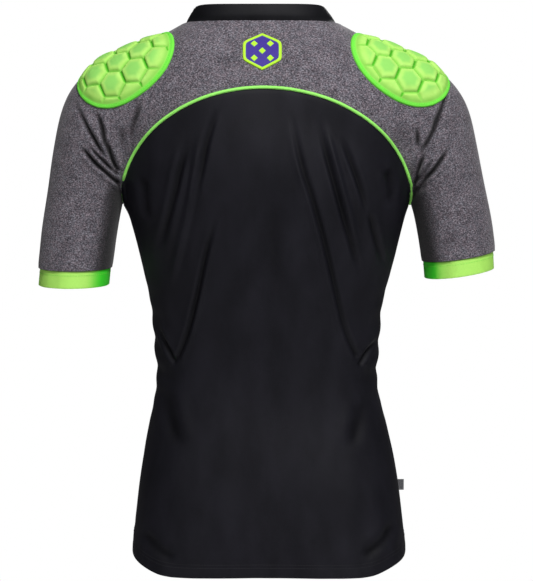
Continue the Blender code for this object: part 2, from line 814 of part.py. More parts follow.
def lay(name: str, top: Sheet, base: Sheet, rim: int, place: tuple, finish: Finish) -> None:
    """Makes a closed solid from a top and a base sheet with the same first outline.

    Args:
        name: name of the solid.
        top: its outer side.
        base: its side next to the cloth.
        rim: number of points in the outline that both sheets start with.
        place: start, along and across of the flat pattern on the figure.
        finish: its material.
    """
    start, along, across = place
    points = []
    for sheet in (top, base):
        spots = walk(start, along, across, np.array(sheet.spots))
        normals = normals_at(spots)
        lift = np.array(sheet.heights) + fold_height(spots, normals)
        points.append(spots + normals * lift[:, None])
    below = len(top.spots)
    faces = list(top.faces())
    faces += [tuple(below + corner for corner in reversed(face)) for face in base.faces()]
    for k in range(rim):
        n = (k + 1) % rim
        faces.append((k, below + k, below + n, n))
    solid(name, np.concatenate(points), faces, finish)


def build_pad(name: str, side: int, out: float) -> None:
    """A foam pad with raised hexagon cells, laid over one shoulder."""
    start = np.array(((side * out, 0.0, -100.0),))
    way = np.array(((0.0, -math.sin(PAD_LEAN), math.cos(PAD_LEAN)),))
    start = cast(start, way, 140.0)[0]
    normal = normals_at(start[None])[0]
    along = np.array((float(side), 0.0, -0.45))
    along = unit(along - (along * normal).sum() * normal)
    across = np.cross(normal, along) * side
    top = Sheet()
    base = Sheet()
    outline = oval(PAD_HALF_LENGTH, PAD_HALF_WIDTH, PAD_OUTLINE)
    top.loop(outline, PAD_RIM_TOP)
    base.loop(outline, PAD_LIFT)
    for hexagon in cells():
        foot = shrunk(hexagon, CELL_GAP / 2)
        edge = shrunk(hexagon, CELL_GAP / 2 + CELL_SHOULDER)
        if len(foot) < 3:
            continue
        top.loop(foot, PAD_GROOVE_TOP)
        if len(edge) > 2:
            top.loop(edge, PAD_CELL_EDGE)
            top.dot(tuple(np.mean(edge, axis=0)), PAD_CELL_TOP)
    inner = oval(PAD_HALF_LENGTH - 8.0, PAD_HALF_WIDTH - 8.0, 60)
    count = int(PAD_HALF_LENGTH / PAD_BASE_STEP)
    for i in range(-count, count + 1):
        for j in range(-count, count + 1):
            spot = ((i + 0.5 * (j % 2)) * PAD_BASE_STEP, j * PAD_BASE_STEP * 0.866)
            if within(spot, inner):
                base.dot(spot, PAD_LIFT)
    lay(name, top, base, PAD_OUTLINE, (start, along, across), FOAM)


def within(spot: tuple, polygon: list) -> bool:
    """Whether a point is inside a convex counter-clockwise polygon."""
    for k, here in enumerate(polygon):
        there = polygon[(k + 1) % len(polygon)]
        turn = (there[0] - here[0]) * (spot[1] - here[1]) - (there[1] - here[1]) * (spot[0] - here[0])
        if turn < 0:
            return False
    return True


def badge_outline() -> list:
    """A six-sided patch with rounded corners, counter-clockwise."""
    wide = BADGE_WIDTH / 2
    high = BADGE_HEIGHT / 2
    low = -high / 2
    corners = ((0, -high), (wide, low), (wide, -low), (0, high), (-wide, -low), (-wide, low))
    spots = []
    for k, corner in enumerate(corners):
        before = Vector(corners[k - 1])
        after = Vector(corners[(k + 1) % 6])
        here = Vector(corner)
        enter = here + (before - here).normalized() * BADGE_ROUNDING
        leave = here + (after - here).normalized() * BADGE_ROUNDING
        for t in (0.0, 0.5, 1.0):
            spot = enter * (1 - t) ** 2 + here * 2 * t * (1 - t) + leave * t * t
            spots.append((spot.x, spot.y))
    return spots


def build_badge() -> None:
    """A sewn patch in the middle of the back of the yoke."""
    start = cast(np.array(((BADGE_X, 0.0, BADGE_Z),)), np.array(((0.0, -1.0, 0.0),)), 160.0)[0]
    normal = normals_at(start[None])[0]
    along = np.array((1.0, 0.0, 0.0))
    along = unit(along - (along * normal).sum() * normal)
    across = np.cross(normal, along)
    outline = badge_outline()
    top = Sheet()
    base = Sheet()
    top.loop(outline, BADGE_LIFT + BADGE_THICKNESS)
    base.loop(outline, BADGE_LIFT)
    for sheet, height in ((top, BADGE_LIFT + BADGE_THICKNESS), (base, BADGE_LIFT)):
        for ring_share in (0.3, 0.65):
            sheet.loop([(x * ring_share, y * ring_share) for x, y in outline[::2]], height)
    lay("neck_badge", top, base, len(outline), (start, along, across), BADGE)


def build_label() -> None:
    """A small folded tab that stands out of the right side seam."""
    start = np.array(((BODY[0].middle, 0.0, LABEL_Z),))
    edge = cast(start, np.array(((1.0, 0.0, 0.0),)), 260.0)[0]
    half = LABEL_THICKNESS / 2
    low = LABEL_Z - LABEL_HEIGHT / 2
    high = LABEL_Z + LABEL_HEIGHT / 2
    x0 = edge[0] + 1.2
    x1 = edge[0] + LABEL_REACH
    points = []
    for z in (low, high):
        points += [(x0, -half, z), (x1 - half, -half, z), (x1, 0.0, z), (x1 - half, half, z), (x0, half, z)]
    faces = [(4, 3, 2, 1, 0), (5, 6, 7, 8, 9)]
    for k in range(5):
        n = (k + 1) % 5
        faces.append((k, n, 5 + n, 5 + k))
    solid("side_label", np.array(points), faces, LABEL)


def main() -> None:
    """Clears the scene and makes every piece."""
    for old in list(bpy.data.objects):
        bpy.data.objects.remove(old, do_unlink=True)
    back_arch = build_body()
    build_collar()
    build_piping(back_arch)
    for name, (side, out) in PADS.items():
        build_pad("pad_" + name, side, out)
    build_badge()
    build_label()


main()
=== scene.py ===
"""Looks of a padded short-sleeved armour top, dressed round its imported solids.

Every sewn panel is the outer sheet of its solid, refined, creased and given a
wall again. Pads, patch, piping and stitches are laid on those sheets. Lengths
in the tables are millimetres; meshes are in metres, in the frame of the solids.
"""

import json
import logging
import math
from contextlib import contextmanager
from dataclasses import dataclass, field
from enum import Enum
from typing import Iterator, Sequence

import bpy
import numpy as np
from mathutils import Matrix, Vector
from mathutils.bvhtree import BVHTree
from mathutils.kdtree import KDTree

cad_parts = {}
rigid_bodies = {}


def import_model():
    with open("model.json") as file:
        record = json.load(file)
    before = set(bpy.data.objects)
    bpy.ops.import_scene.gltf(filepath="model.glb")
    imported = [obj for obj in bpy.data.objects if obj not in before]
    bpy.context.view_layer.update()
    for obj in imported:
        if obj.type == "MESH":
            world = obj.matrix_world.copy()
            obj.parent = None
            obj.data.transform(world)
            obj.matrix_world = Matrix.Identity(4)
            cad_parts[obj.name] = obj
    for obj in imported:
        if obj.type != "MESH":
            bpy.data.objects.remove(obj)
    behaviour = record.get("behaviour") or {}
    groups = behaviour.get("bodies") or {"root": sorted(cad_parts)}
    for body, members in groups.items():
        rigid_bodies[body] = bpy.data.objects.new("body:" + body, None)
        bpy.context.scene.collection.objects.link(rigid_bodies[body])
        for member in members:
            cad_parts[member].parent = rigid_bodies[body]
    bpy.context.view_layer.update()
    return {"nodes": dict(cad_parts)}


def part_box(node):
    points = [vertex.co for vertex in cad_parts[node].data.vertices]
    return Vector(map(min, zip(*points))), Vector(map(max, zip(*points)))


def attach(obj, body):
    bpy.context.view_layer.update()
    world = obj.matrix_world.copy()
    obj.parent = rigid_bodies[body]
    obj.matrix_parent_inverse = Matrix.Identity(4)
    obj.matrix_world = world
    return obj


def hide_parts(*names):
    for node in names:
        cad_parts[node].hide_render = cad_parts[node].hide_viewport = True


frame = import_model()
LOG = logging.getLogger("armour_top")
MM = 0.001

Array = np.ndarray
Piece = bpy.types.Object
Socket = bpy.types.NodeSocket
Material = bpy.types.Material
Triple = tuple[float, float, float]

X_AXIS = np.array((1.0, 0.0, 0.0))

# Heights in metres that tell the edges at the hem and at the ends of the sleeves from the others.
HEM_BELOW = -0.63
SLEEVE_ENDS_BELOW = -0.25

# How much higher than its solid a cuff reaches.
CUFF_LIFT = 4.2

# A crease's points along its line, and its reach and raised banks in half widths.
CREASE_POINTS = 40
CREASE_REACH = 3.2
BANK_OUT = 1.75
BANK_WIDTH = 0.9
BANK_SHARE = 0.34
BANK_LEAN = 0.3

# How squarely cloth faces back or front where creases start and are full, and how they swell.
CREASE_FACING = (0.05, 0.45)
SWELL_SHARE = 0.14
SWELL_TURNS = 9

# How squarely a sleeve faces the body where its painted shade starts and is full, and the heights where
# that painted shade ends.
SHADE_FACING = (0.42, 0.85)
SHADE_HEIGHTS = (-0.205, -0.165)

# How far a solid's rim faces may differ from the cloth's thickness, and how steep an upright edge is.
RIM_SLACK = 0.03
UPRIGHT = 0.75

# Length in metres over which a wave texture of scale 1 repeats.
WAVE_PITCH = 0.314


class Side(Enum):
    """The wearer's left and right, as the sign of X."""

    LEFT = -1
    RIGHT = 1

    @property
    def word(self) -> str:
        """The side as pieces and solids are named."""
        return self.name.lower()


class Face(Enum):
    """The back and the front of the garment, as the sign of Y."""

    BACK = -1
    FRONT = 1


@dataclass(frozen=True)
class Crease:
    """A soft trough (depth above 0) or ridge through points seen square from behind."""

    points: tuple[tuple[float, float], ...]
    half_width: float
    depth: float
    lean: float = 0.0
    fade_in: float = 0.25
    fade_out: float = 0.3


@dataclass(frozen=True)
class SolidFold:
    """A fold that the solids already carry in coarse form, through three points."""

    points: tuple[tuple[float, float], ...]
    half_width: float
    height: float


SOLID_FOLDS = (
    SolidFold(((-64, -95), (-72, -140), (-78, -175)), 9, -2.2),
    SolidFold(((-93, -125), (-110, -175), (-116, -235)), 10, -2.4),
    SolidFold(((-88, -130), (-97, -215), (-113, -285)), 9, 1.8),
    SolidFold(((-70, -240), (-92, -345), (-114, -415)), 9, -2.4),
    SolidFold(((30, -103), (52, -190), (87, -330)), 10, -2.4),
    SolidFold(((65, -108), (78, -200), (98, -265)), 10, -2.2),
    SolidFold(((92, -125), (112, -180), (126, -265)), 9, -2.2),
    SolidFold(((40, -150), (62, -230), (70, -300)), 10, 1.8),
    SolidFold(((84, -310), (96, -355), (112, -405)), 9, -2.2),
    SolidFold(((-213, -145), (-202, -170), (-190, -185)), 8, -2.2),
    SolidFold(((-207, -118), (-200, -145), (-192, -172)), 8, -1.8),
    SolidFold(((207, -120), (200, -148), (191, -177)), 8, -1.8),
    SolidFold(((222, -150), (205, -175), (192, -195)), 8, -2.2),
)

BACK_CREASES = (
    Crease(((-56, -92), (-68, -129), (-76, -165), (-87, -211)), 4.0, 1.2, 0.3),
    Crease(((-77, -116), (-84, -165), (-95, -227), (-107, -276), (-116, -315)), 4.5, -1.3),
    Crease(((-90, -127), (-103, -170), (-109, -197), (-120, -238), (-130, -271)), 4.6, 1.8, -0.3),
    Crease(((-147, -178), (-146, -204), (-143, -234)), 6.0, 1.3),
    Crease(((-56, -216), (-71, -265), (-85, -328), (-96, -370), (-110, -405)), 3.2, 1.7, 0.4, 0.3, 0.05),
    Crease(((-134, -358), (-123, -386), (-110, -407)), 3.2, 1.5, -0.3, 0.3, 0.05),
    Crease(((28, -97), (40, -157), (54, -203), (67, -249), (83, -315), (95, -364), (113, -406)),
           3.4, 1.7, -0.4, 0.2, 0.05),
    Crease(((60, -105), (75, -165), (89, -216), (103, -265), (114, -301)), 3.6, 1.7, 0.4),
    Crease(((66, -110), (82, -165), (96, -214), (108, -258)), 4.5, -1.1),
    Crease(((87, -127), (102, -165), (113, -197), (120, -224)), 3.6, 1.6, -0.3),
    Crease(((122, -218), (130, -250), (142, -291)), 3.8, 1.5, 0.3),
    Crease(((144, -168), (149, -190), (150, -216)), 6.0, 1.3),
    Crease(((137, -380), (123, -395), (112, -409)), 3.2, 1.5, 0.3, 0.3, 0.05),
    Crease(((-26, -150), (-30, -230), (-34, -300)), 9.0, -0.5),
    Crease(((8, -190), (12, -270), (16, -350)), 10.0, 0.5),
    Crease(((-124, -440), (-116, -476), (-104, -512)), 9.0, 1.3, 0.4),
    Crease(((117, -450), (111, -480), (103, -512)), 9.0, 1.2, -0.4),
    Crease(((-152, -612), (-132, -630), (-106, -640)), 7.0, 1.2, 0.3),
    Crease(((156, -600), (140, -622), (112, -638)), 7.0, 1.4, -0.3),
)

ARM_CREASES = (
    Crease(((-235, -84), (-223, -105), (-212, -125), (-202, -142), (-191, -161), (-180, -178)),
           3.0, 2.3, 0.3, 0.3, 0.2),
    Crease(((-225, -142), (-214, -154), (-204, -165), (-192, -176), (-177, -191)),
           2.9, 3.4, -0.4, 0.3, 0.02),
    Crease(((-212, -144), (-204, -153), (-193, -165), (-178, -180)), 2.5, 2.6, 0.4, 0.3, 0.05),
    Crease(((-207, -98), (-200, -111), (-196, -123), (-193, -139), (-187, -156), (-178, -178)),
           3.0, 2.7, 0.3, 0.25, 0.1),
    Crease(((-188, -122), (-187, -146), (-183, -161), (-176, -177)), 2.7, 2.4, -0.3, 0.35, 0.1),
    Crease(((-173, -118), (-173, -135), (-173, -152)), 4.0, 1.2, 0.2, 0.4, 0.4),
    Crease(((-147, -82), (-154, -104), (-160, -122), (-164, -146)), 4.2, 1.7, 0.3, 0.3, 0.4),
    Crease(((221, -67), (215, -84), (209, -102), (201, -121), (192, -138), (181, -157)),
           2.9, 2.6, -0.3, 0.3, 0.15),
    Crease(((212, -82), (205, -102), (199, -116), (193, -130)), 2.7, 1.7, 0.3, 0.4, 0.4),
    Crease(((178, -115), (180, -135), (181, -154)), 3.2, 1.8, 0.0, 0.4, 0.4),
    Crease(((222, -141), (210, -159), (200, -173), (188, -186), (176, -200)),
           3.0, 3.4, 0.4, 0.3, 0.02),
    Crease(((203, -153), (191, -173), (183, -184), (175, -196)), 2.5, 2.6, -0.3, 0.3, 0.05),
    Crease(((190, -150), (184, -166), (181, -178), (176, -193)), 2.7, 3.0, 0.4, 0.3, 0.05),
    Crease(((200, -180), (187, -195), (176, -206)), 3.4, 2.2, -0.3, 0.4, 0.05),
)


FRONT_NARROW = 0.96
FRONT_WIDEN = 1.1
FRONT_SOFTEN = 0.85
FRONT_FADE = 0.3
PANEL_DROP = 26
ARM_DROP = 4


def front_twin(crease: Crease, drop: float) -> Crease:
    """A similar crease for the front: mirrored, a little lower and softer."""
    points = tuple((-FRONT_NARROW * x, z - drop) for x, z in crease.points)
    width = crease.half_width * FRONT_WIDEN
    return Crease(points, width, crease.depth * FRONT_SOFTEN, -crease.lean, FRONT_FADE, FRONT_FADE)


CREASES = {
    Face.BACK: BACK_CREASES + ARM_CREASES,
    Face.FRONT: tuple(front_twin(crease, PANEL_DROP) for crease in BACK_CREASES[1:])
    + tuple(front_twin(crease, ARM_DROP) for crease in ARM_CREASES),
}
LONG_CREASES = {face: creases[:-len(ARM_CREASES)] for face, creases in CREASES.items()}
SLEEVE_CREASES = {face: creases[-len(ARM_CREASES):] for face, creases in CREASES.items()}


def ease(low: float, high: float, value: Array) -> Array:
    """Smooth step from 0 at low to 1 at high."""
    t = np.clip((value - low) / (high - low), 0, 1)
    return t * t * (3 - 2 * t)


def unit(vectors: Array) -> Array:
    """Vectors of length one."""
    return vectors / np.maximum(np.linalg.norm(vectors, axis=-1, keepdims=True), 1e-12)


def smooth_line(points: Sequence[tuple[float, float]], count: int) -> Array:
    """A smooth line through a few points.

    Args:
        points: the points, in any number of dimensions.
        count: how many points the line gets.

    Returns:
        The line's points.
    """
    knots = np.array(points, float)
    slopes = np.gradient(knots, axis=0)
    at = np.linspace(0, len(knots) - 1, count)
    row = np.clip(at.astype(int), 0, len(knots) - 2)
    t = (at - row)[:, None]
    rise = t * t * (3 - 2 * t)
    lean = slopes[row] * (t - 2 * t * t + t ** 3) + slopes[row + 1] * (t ** 3 - t * t)
    return knots[row] * (1 - rise) + knots[row + 1] * rise + lean


def line_place(line: Array, spots: Array) -> tuple[Array, Array]:
    """Where spots are along a line in the plane, and how far to its side.

    Returns:
        Shares of the line's length, and signed distances.
    """
    away = spots[:, None, :] - line[None]
    closest = (away ** 2).sum(2).argmin(1)
    slope = np.gradient(line, axis=0)[closest]
    step = np.linalg.norm(slope, axis=1)
    offset = spots - line[closest]
    ahead = (offset * slope).sum(1) / step ** 2
    aside = (slope[:, 0] * offset[:, 1] - slope[:, 1] * offset[:, 0]) / step
    return np.clip((closest + ahead) / (len(line) - 1), 0, 1), aside


def crease_line(crease: Crease, flat: Array, reach: float) -> tuple[Array, Array]:
    """A crease's line, and the numbers of the points in the box round it."""
    line = smooth_line(crease.points, CREASE_POINTS)
    close = np.all((flat > line.min(0) - reach) & (flat < line.max(0) + reach), axis=1)
    return line, np.nonzero(close)[0]


def crease_height(points: Array, normals: Array) -> Array:
    """How far all creases move points out along their normals, in metres."""
    total = np.zeros(len(points))
    flat = points[:, [0, 2]] / MM
    for face, creases in CREASES.items():
        facing = ease(*CREASE_FACING, normals[:, 1] * face.value)
        for crease in creases:
            line, near = crease_line(crease, flat, CREASE_REACH * crease.half_width)
            near = near[facing[near] > 0]
            if len(near) == 0:
                continue
            along, side = line_place(line, flat[near])
            side = side / crease.half_width
            profile = np.exp(-side ** 2)
            for way in (-1, 1):
                bank = BANK_SHARE + way * BANK_LEAN * crease.lean
                profile = profile - np.exp(-((side - way * BANK_OUT) / BANK_WIDTH) ** 2) * bank
            swell = ease(0, crease.fade_in, along) * (1 - ease(1 - crease.fade_out, 1, along))
            wave = np.sin(SWELL_TURNS * along + crease.half_width)
            swell = swell * (1 - SWELL_SHARE + SWELL_SHARE * wave)
            total[near] -= crease.depth * MM * profile * swell * facing[near]
    return total


def near_crease(points: Array, creases: Sequence[Crease], reach: float) -> Array:
    """Which points are within so many millimetres of a crease's line, seen from behind."""
    flat = points[:, [0, 2]] / MM
    result = np.zeros(len(points), bool)
    for crease in creases:
        line, close = crease_line(crease, flat, reach)
        if len(close):
            result[close] |= np.abs(line_place(line, flat[close])[1]) < reach
    return result


def solid_fold_height(points: Array, normals: Array) -> Array:
    """How far the coarse folds of the solids stand out, in metres."""
    total = np.zeros(len(points))
    flat = points[:, [0, 2]] / MM
    for fold in SOLID_FOLDS:
        a, b, c = (np.array(spot, float) for spot in fold.points)
        t = np.linspace(0, 1, 25)[:, None]
        line = a * (1 - t) * (1 - 2 * t) + b * 4 * t * (1 - t) + c * t * (2 * t - 1)
        along, side = line_place(line, flat)
        swell = ease(0, 0.25, along) * (1 - ease(0.7, 1.0, along))
        total += fold.height * MM * swell * np.exp(-(side / fold.half_width) ** 2)
    return total * ease(0.15, 0.6, np.abs(normals[:, 1]))


def ripple_height(points: Array) -> Array:
    """Faint, mostly upright ripples of hanging cloth, in metres."""
    x, y, z = points.T
    phase = np.where(y > 0, 1.9, 0.0)
    sway = 0.35 * np.sin(9.0 * z + phase)
    total = 0.36 * np.sin(2 * math.pi * (x / 0.049 + sway) + phase)
    total += 0.28 * np.sin(2 * math.pi * (x / 0.031 - z / 0.33) + 1.3 + phase)
    total += 0.30 * np.sin(2 * math.pi * (z / 0.115 + x / 0.21 + y / 0.3) + phase)
    return total * MM


def waist_height(points: Array, normals: Array) -> Array:
    """Small bunched folds across the sides of the waist, in metres."""
    x, y, z = points.T
    spread = np.exp(-((z + 0.395) / 0.055) ** 2) * ease(0.55, 0.9, np.abs(normals[:, 0]))
    phase = np.where(x > 0, 0.9, 0.0)
    bunch = np.sin(2 * math.pi * (z / 0.031 + np.abs(y) / 0.16) + phase + 0.8 * np.sin(41 * z))
    return 1.3 * MM * spread * bunch


def toward_body(points: Array, normals: Array) -> Array:
    """How far each point of a sleeve or cuff faces the body close by, below the armpits, from 0 to 1: the
    strength of its painted shade.
    """
    facing = -normals[:, 0] * np.sign(points[:, 0])
    return ease(*SHADE_FACING, facing) * (1 - ease(*SHADE_HEIGHTS, points[:, 2]))


def only(piece: Piece) -> None:
    """Selects one piece and makes it active."""
    bpy.ops.object.select_all(action="DESELECT")
    piece.select_set(True)
    bpy.context.view_layer.objects.active = piece


def spots_of(piece: Piece) -> Array:
    """The piece's points."""
    flat = np.empty(len(piece.data.vertices) * 3)
    piece.data.vertices.foreach_get("co", flat)
    return flat.reshape(-1, 3)


def put_spots(piece: Piece, points: Array) -> None:
    """Moves the piece's points."""
    piece.data.vertices.foreach_set("co", np.ascontiguousarray(points, float).ravel())
    piece.data.update()


def normals_of(piece: Piece) -> Array:
    """The piece's smooth normals, one for each point."""
    flat = np.empty(len(piece.data.vertices) * 3)
    piece.data.vertex_normals.foreach_get("vector", flat)
    return flat.reshape(-1, 3)


def modify(piece: Piece, kind: str, **settings: object) -> None:
    """Adds a modifier with the given settings and applies it."""
    only(piece)
    modifier = piece.modifiers.new(kind.lower(), kind)
    for key, value in settings.items():
        setattr(modifier, key, value)
    bpy.ops.object.modifier_apply(modifier=modifier.name)


def refine(piece: Piece, levels: int) -> None:
    """Makes a piece finer and smooth, with its corners kept."""
    modify(
        piece, "SUBSURF", levels=levels, render_levels=levels, boundary_smooth="PRESERVE_CORNERS"
    )


@contextmanager
def editing(piece: Piece, kind: str = "VERT", wanted: Array | None = None) -> Iterator[None]:
    """Opens a piece for editing, with all of it or only some of it selected.

    Args:
        piece: the piece.
        kind: what is selected: VERT, EDGE or FACE.
        wanted: which edges or faces are selected. None selects everything.
    """
    only(piece)
    bpy.ops.object.mode_set(mode="EDIT")
    bpy.ops.mesh.select_mode(type=kind)
    bpy.ops.mesh.select_all(action="SELECT" if wanted is None else "DESELECT")
    if wanted is not None:
        bpy.ops.object.mode_set(mode="OBJECT")
        parts = piece.data.edges if kind == "EDGE" else piece.data.polygons
        parts.foreach_set("select", wanted)
        bpy.ops.object.mode_set(mode="EDIT")
    yield
    bpy.ops.object.mode_set(mode="OBJECT")


def turn_outward(piece: Piece) -> None:
    """Turns every face of a closed piece outward."""
    with editing(piece):
        bpy.ops.mesh.normals_make_consistent(inside=False)


def refine_area(piece: Piece, wanted: Array) -> None:
    """Splits some of a sheet's faces into four, on the same curve."""
    with editing(piece, "FACE", wanted):
        bpy.ops.mesh.subdivide(number_cuts=1, smoothness=1.0)


def split_upright(piece: Piece) -> None:
    """Doubles a sheet's rows: splits its upright edges, on the same curve."""
    points = spots_of(piece)
    pairs = np.array([tuple(edge.vertices) for edge in piece.data.edges])
    run = np.abs(unit(points[pairs[:, 1]] - points[pairs[:, 0]]))
    with editing(piece, "EDGE", run[:, 2] > UPRIGHT):
        bpy.ops.mesh.subdivide(number_cuts=1, smoothness=1.0)


def wall(piece: Piece, thickness: float) -> None:
    """Gives a sheet its thickness, in millimetres, on its inner side."""
    modify(piece, "SOLIDIFY", thickness=thickness * MM, offset=-1.0, use_rim=True)


def put_values(piece: Piece, name: str, values: Array) -> None:
    """Writes a value at each point, for the piece's material to read."""
    layer = piece.data.attributes.new(name, "FLOAT", "POINT")
    layer.data.foreach_set("value", values.astype(np.float32))


def close_relief(piece: Piece, high: Array, low: Array, values: dict[str, Array]) -> None:
    """Makes a sheet a closed piece between two layers of points.

    Args:
        piece: the sheet.
        high: points of the outer layer.
        low: points of the inner layer.
        values: what the material reads at each point of both layers.
    """
    wall(piece, 1.0)
    put_spots(piece, np.concatenate((high, low)))
    turn_outward(piece)
    for name, part in values.items():
        put_values(piece, name, np.concatenate((part, part)))


def smooth(piece: Piece) -> None:
    """Shades a piece smooth, with its sharp edges kept."""
    only(piece)
    bpy.ops.object.shade_smooth_by_angle(angle=math.radians(50))


def add_object(name: str, data: bpy.types.ID) -> Piece:
    """A new object in the scene."""
    piece = bpy.data.objects.new(name, data)
    bpy.context.scene.collection.objects.link(piece)
    return piece


def flat_grid(name: str, columns: int, rows: int) -> Piece:
    """A new flat grid of four-sided faces, from -1 to 1 both ways."""
    bpy.ops.object.select_all(action="DESELECT")
    bpy.ops.mesh.primitive_grid_add(x_subdivisions=columns, y_subdivisions=rows, size=2.0)
    piece = bpy.context.object
    piece.name = name
    piece.data.name = name
    return piece


def disc_of(piece: Piece) -> Array:
    """The points of a flat grid, moved into a round disc of radius 1."""
    a, b = spots_of(piece)[:, :2].T
    return np.stack((a * np.sqrt(1 - b * b / 2), b * np.sqrt(1 - a * a / 2)), axis=1)


def outer_sheet(node: str, name: str, toward: Triple, cloth: float) -> Piece:
    """The outer side of a solid, as a new sheet of four-sided faces.

    Args:
        node: the solid.
        name: name of the sheet.
        toward: a direction in which the outer side reaches furthest.
        cloth: thickness of the solid's wall, in millimetres.

    Returns:
        The sheet.
    """
    mesh = frame["nodes"][node].data.copy()
    mesh.name = name
    mesh.materials.clear()
    sheet = add_object(name, mesh)
    with editing(sheet, "FACE"):
        bpy.ops.mesh.customdata_custom_splitnormals_clear()
        bpy.ops.mesh.remove_doubles(threshold=1e-5)
    rim = []
    for face in mesh.polygons:
        corners = [mesh.vertices[k].co for k in face.vertices]
        sides = [(corner - corners[k - 1]).length / MM for k, corner in enumerate(corners)]
        rim.append(min(abs(side - cloth) for side in sides) < RIM_SLACK)
    with editing(sheet, "FACE", np.array(rim)):
        bpy.ops.mesh.delete(type="FACE")
    way = Vector(toward)
    facing = [face for face in mesh.polygons if face.normal.dot(way) > 0.9]
    furthest = max(facing, key=lambda face: face.center.dot(way)).index
    with editing(sheet, "FACE", np.arange(len(mesh.polygons)) == furthest):
        bpy.ops.mesh.select_linked(delimit=set())
        bpy.ops.mesh.select_all(action="INVERT")
        bpy.ops.mesh.delete(type="FACE")
        bpy.ops.mesh.select_all(action="SELECT")
        bpy.ops.mesh.tris_convert_to_quads(
            face_threshold=math.radians(60), shape_threshold=math.radians(70)
        )
    LOG.info("%s: %d faces from solid %s", name, len(mesh.polygons), node)
    return sheet


def sew(sheets: Sequence[Piece], reach: float) -> Piece:
    """Joins sheets into the first one and closes the seams between them.

    Args:
        sheets: the sheets.
        reach: widest seam gap to close, in millimetres.

    Returns:
        The first sheet.
    """
    only(sheets[0])
    for sheet in sheets[1:]:
        sheet.select_set(True)
    bpy.ops.object.join()
    with editing(sheets[0]):
        bpy.ops.mesh.select_all(action="DESELECT")
        bpy.ops.mesh.select_non_manifold(
            use_wire=False, use_boundary=True, use_multi_face=False,
            use_non_contiguous=False, use_verts=False,
        )
        bpy.ops.mesh.remove_doubles(threshold=reach * MM)
    return sheets[0]


def edge_loops(piece: Piece) -> list[Array]:
    """The open edges of a sheet, as closed runs of point numbers."""
    uses: dict[tuple[int, int], int] = {}
    for face in piece.data.polygons:
        for key in face.edge_keys:
            uses[key] = uses.get(key, 0) + 1
    links: dict[int, list[int]] = {}
    for (a, b), count in uses.items():
        if count == 1:
            links.setdefault(a, []).append(b)
            links.setdefault(b, []).append(a)
    loops = []
    while links:
        start = next(iter(links))
        loop = [start]
        while True:
            following = [other for other in links[loop[-1]] if other in links and other not in loop[-2:]]
            ahead = next((other for other in following if other not in loop), None)
            if ahead is None:
                break
            loop.append(ahead)
        for spot in loop:
            links.pop(spot, None)
        loops.append(np.array(loop))
    return loops


def nearest(points: Array, others: Array) -> tuple[Array, Array]:
    """For each point the nearest of the others, and how far it is."""
    tree = KDTree(len(others))
    for k, other in enumerate(others):
        tree.insert(other, k)
    tree.balance()
    found = [tree.find(point) for point in points]
    return np.array([hit[0] for hit in found]), np.array([hit[2] for hit in found])


def gap_to(points: Array, others: Array) -> Array:
    """Distance from each point to the nearest of the others."""
    return nearest(points, others)[1]


def run_where(loop: Array, wanted: Array) -> Array:
    """The longest unbroken run of a closed loop where a test holds.

    Args:
        loop: point numbers in order.
        wanted: the test's result for each of them.

    Returns:
        The run's point numbers in order.
    """
    best: list[int] = []
    here: list[int] = []
    for number, good in zip(np.concatenate((loop, loop)), np.concatenate((wanted, wanted))):
        here = here + [int(number)] if good else []
        if len(here) > len(best) and len(here) <= len(loop):
            best = here
    return np.array(best)


def run_of(points: Array) -> Array:
    """Length along a line at each of its points, in metres."""
    steps = np.linalg.norm(np.diff(points, axis=0), axis=1)
    return np.concatenate(([0.0], np.cumsum(steps)))


def read_along(at: Array, run: Array, rows: Array) -> Array:
    """Rows of values along a line, read at other lengths."""
    return np.stack([np.interp(at, run, column) for column in rows.T], axis=1)


def even_line(points: Array, step: float, closed: bool = False) -> Array:
    """The same line in equal steps, in metres."""
    if closed:
        points = np.concatenate((points, points[:1]))
    run = run_of(points)
    count = max(int(round(run[-1] / step)), 2)
    line = read_along(np.linspace(0, run[-1], count + 1), run, points)
    return line[:-1] if closed else line


def soften(line: Array, passes: int) -> None:
    """Smooths a line in place, with its ends kept."""
    for _ in range(passes):
        line[1:-1] = (line[:-2] + 2 * line[1:-1] + line[2:]) / 4


def tangent(ways: Array, normals: Array) -> Array:
    """Directions laid into the surface that has these normals."""
    return unit(ways - (ways * normals).sum(-1, keepdims=True) * normals)


class Ground:
    """The outer surface of some sheets, for pieces that lie on it."""

    def __init__(self, sheets: Sequence[Piece]) -> None:
        corners: list[Vector] = []
        faces: list[tuple[int, ...]] = []
        for sheet in sheets:
            base = len(corners)
            corners += [vertex.co.copy() for vertex in sheet.data.vertices]
            faces += [tuple(base + k for k in face.vertices) for face in sheet.data.polygons]
        self.tree = BVHTree.FromPolygons(corners, faces)

    def hit(self, start: Array, way: Array) -> tuple[Array, Array]:
        """The first spot that a ray meets, and the normal there."""
        spot, normal, _, _ = self.tree.ray_cast(Vector(start), Vector(way))
        return np.array(spot), np.array(normal)

    def settle(self, points: Array) -> tuple[Array, Array]:
        """Points moved onto the surface, and the normals there."""
        found = [self.tree.find_nearest(Vector(point)) for point in points]
        return np.array([f[0] for f in found]), np.array([f[1] for f in found])

    def walk(self, place: "Place", flat: Array, steps: int = 10) -> Array:
        """Carries a flat pattern out over the surface.

        Args:
            place: where the pattern's middle is and how it is turned.
            flat: the pattern's points, in metres.
            steps: how many steps each point takes.

        Returns:
            The points on the surface.
        """
        reach = np.linalg.norm(flat, axis=1)[:, None] / steps
        heading = unit(flat[:, :1] * place.along + flat[:, 1:] * place.across)
        points = np.repeat(place.start[None], len(flat), axis=0)
        for _ in range(steps):
            points, normals = self.settle(points + heading * reach)
            heading = tangent(heading, normals)
        return points


@dataclass
class Place:
    """The middle of a flat pattern on a surface, and its two directions there."""

    start: Array
    along: Array
    across: Array


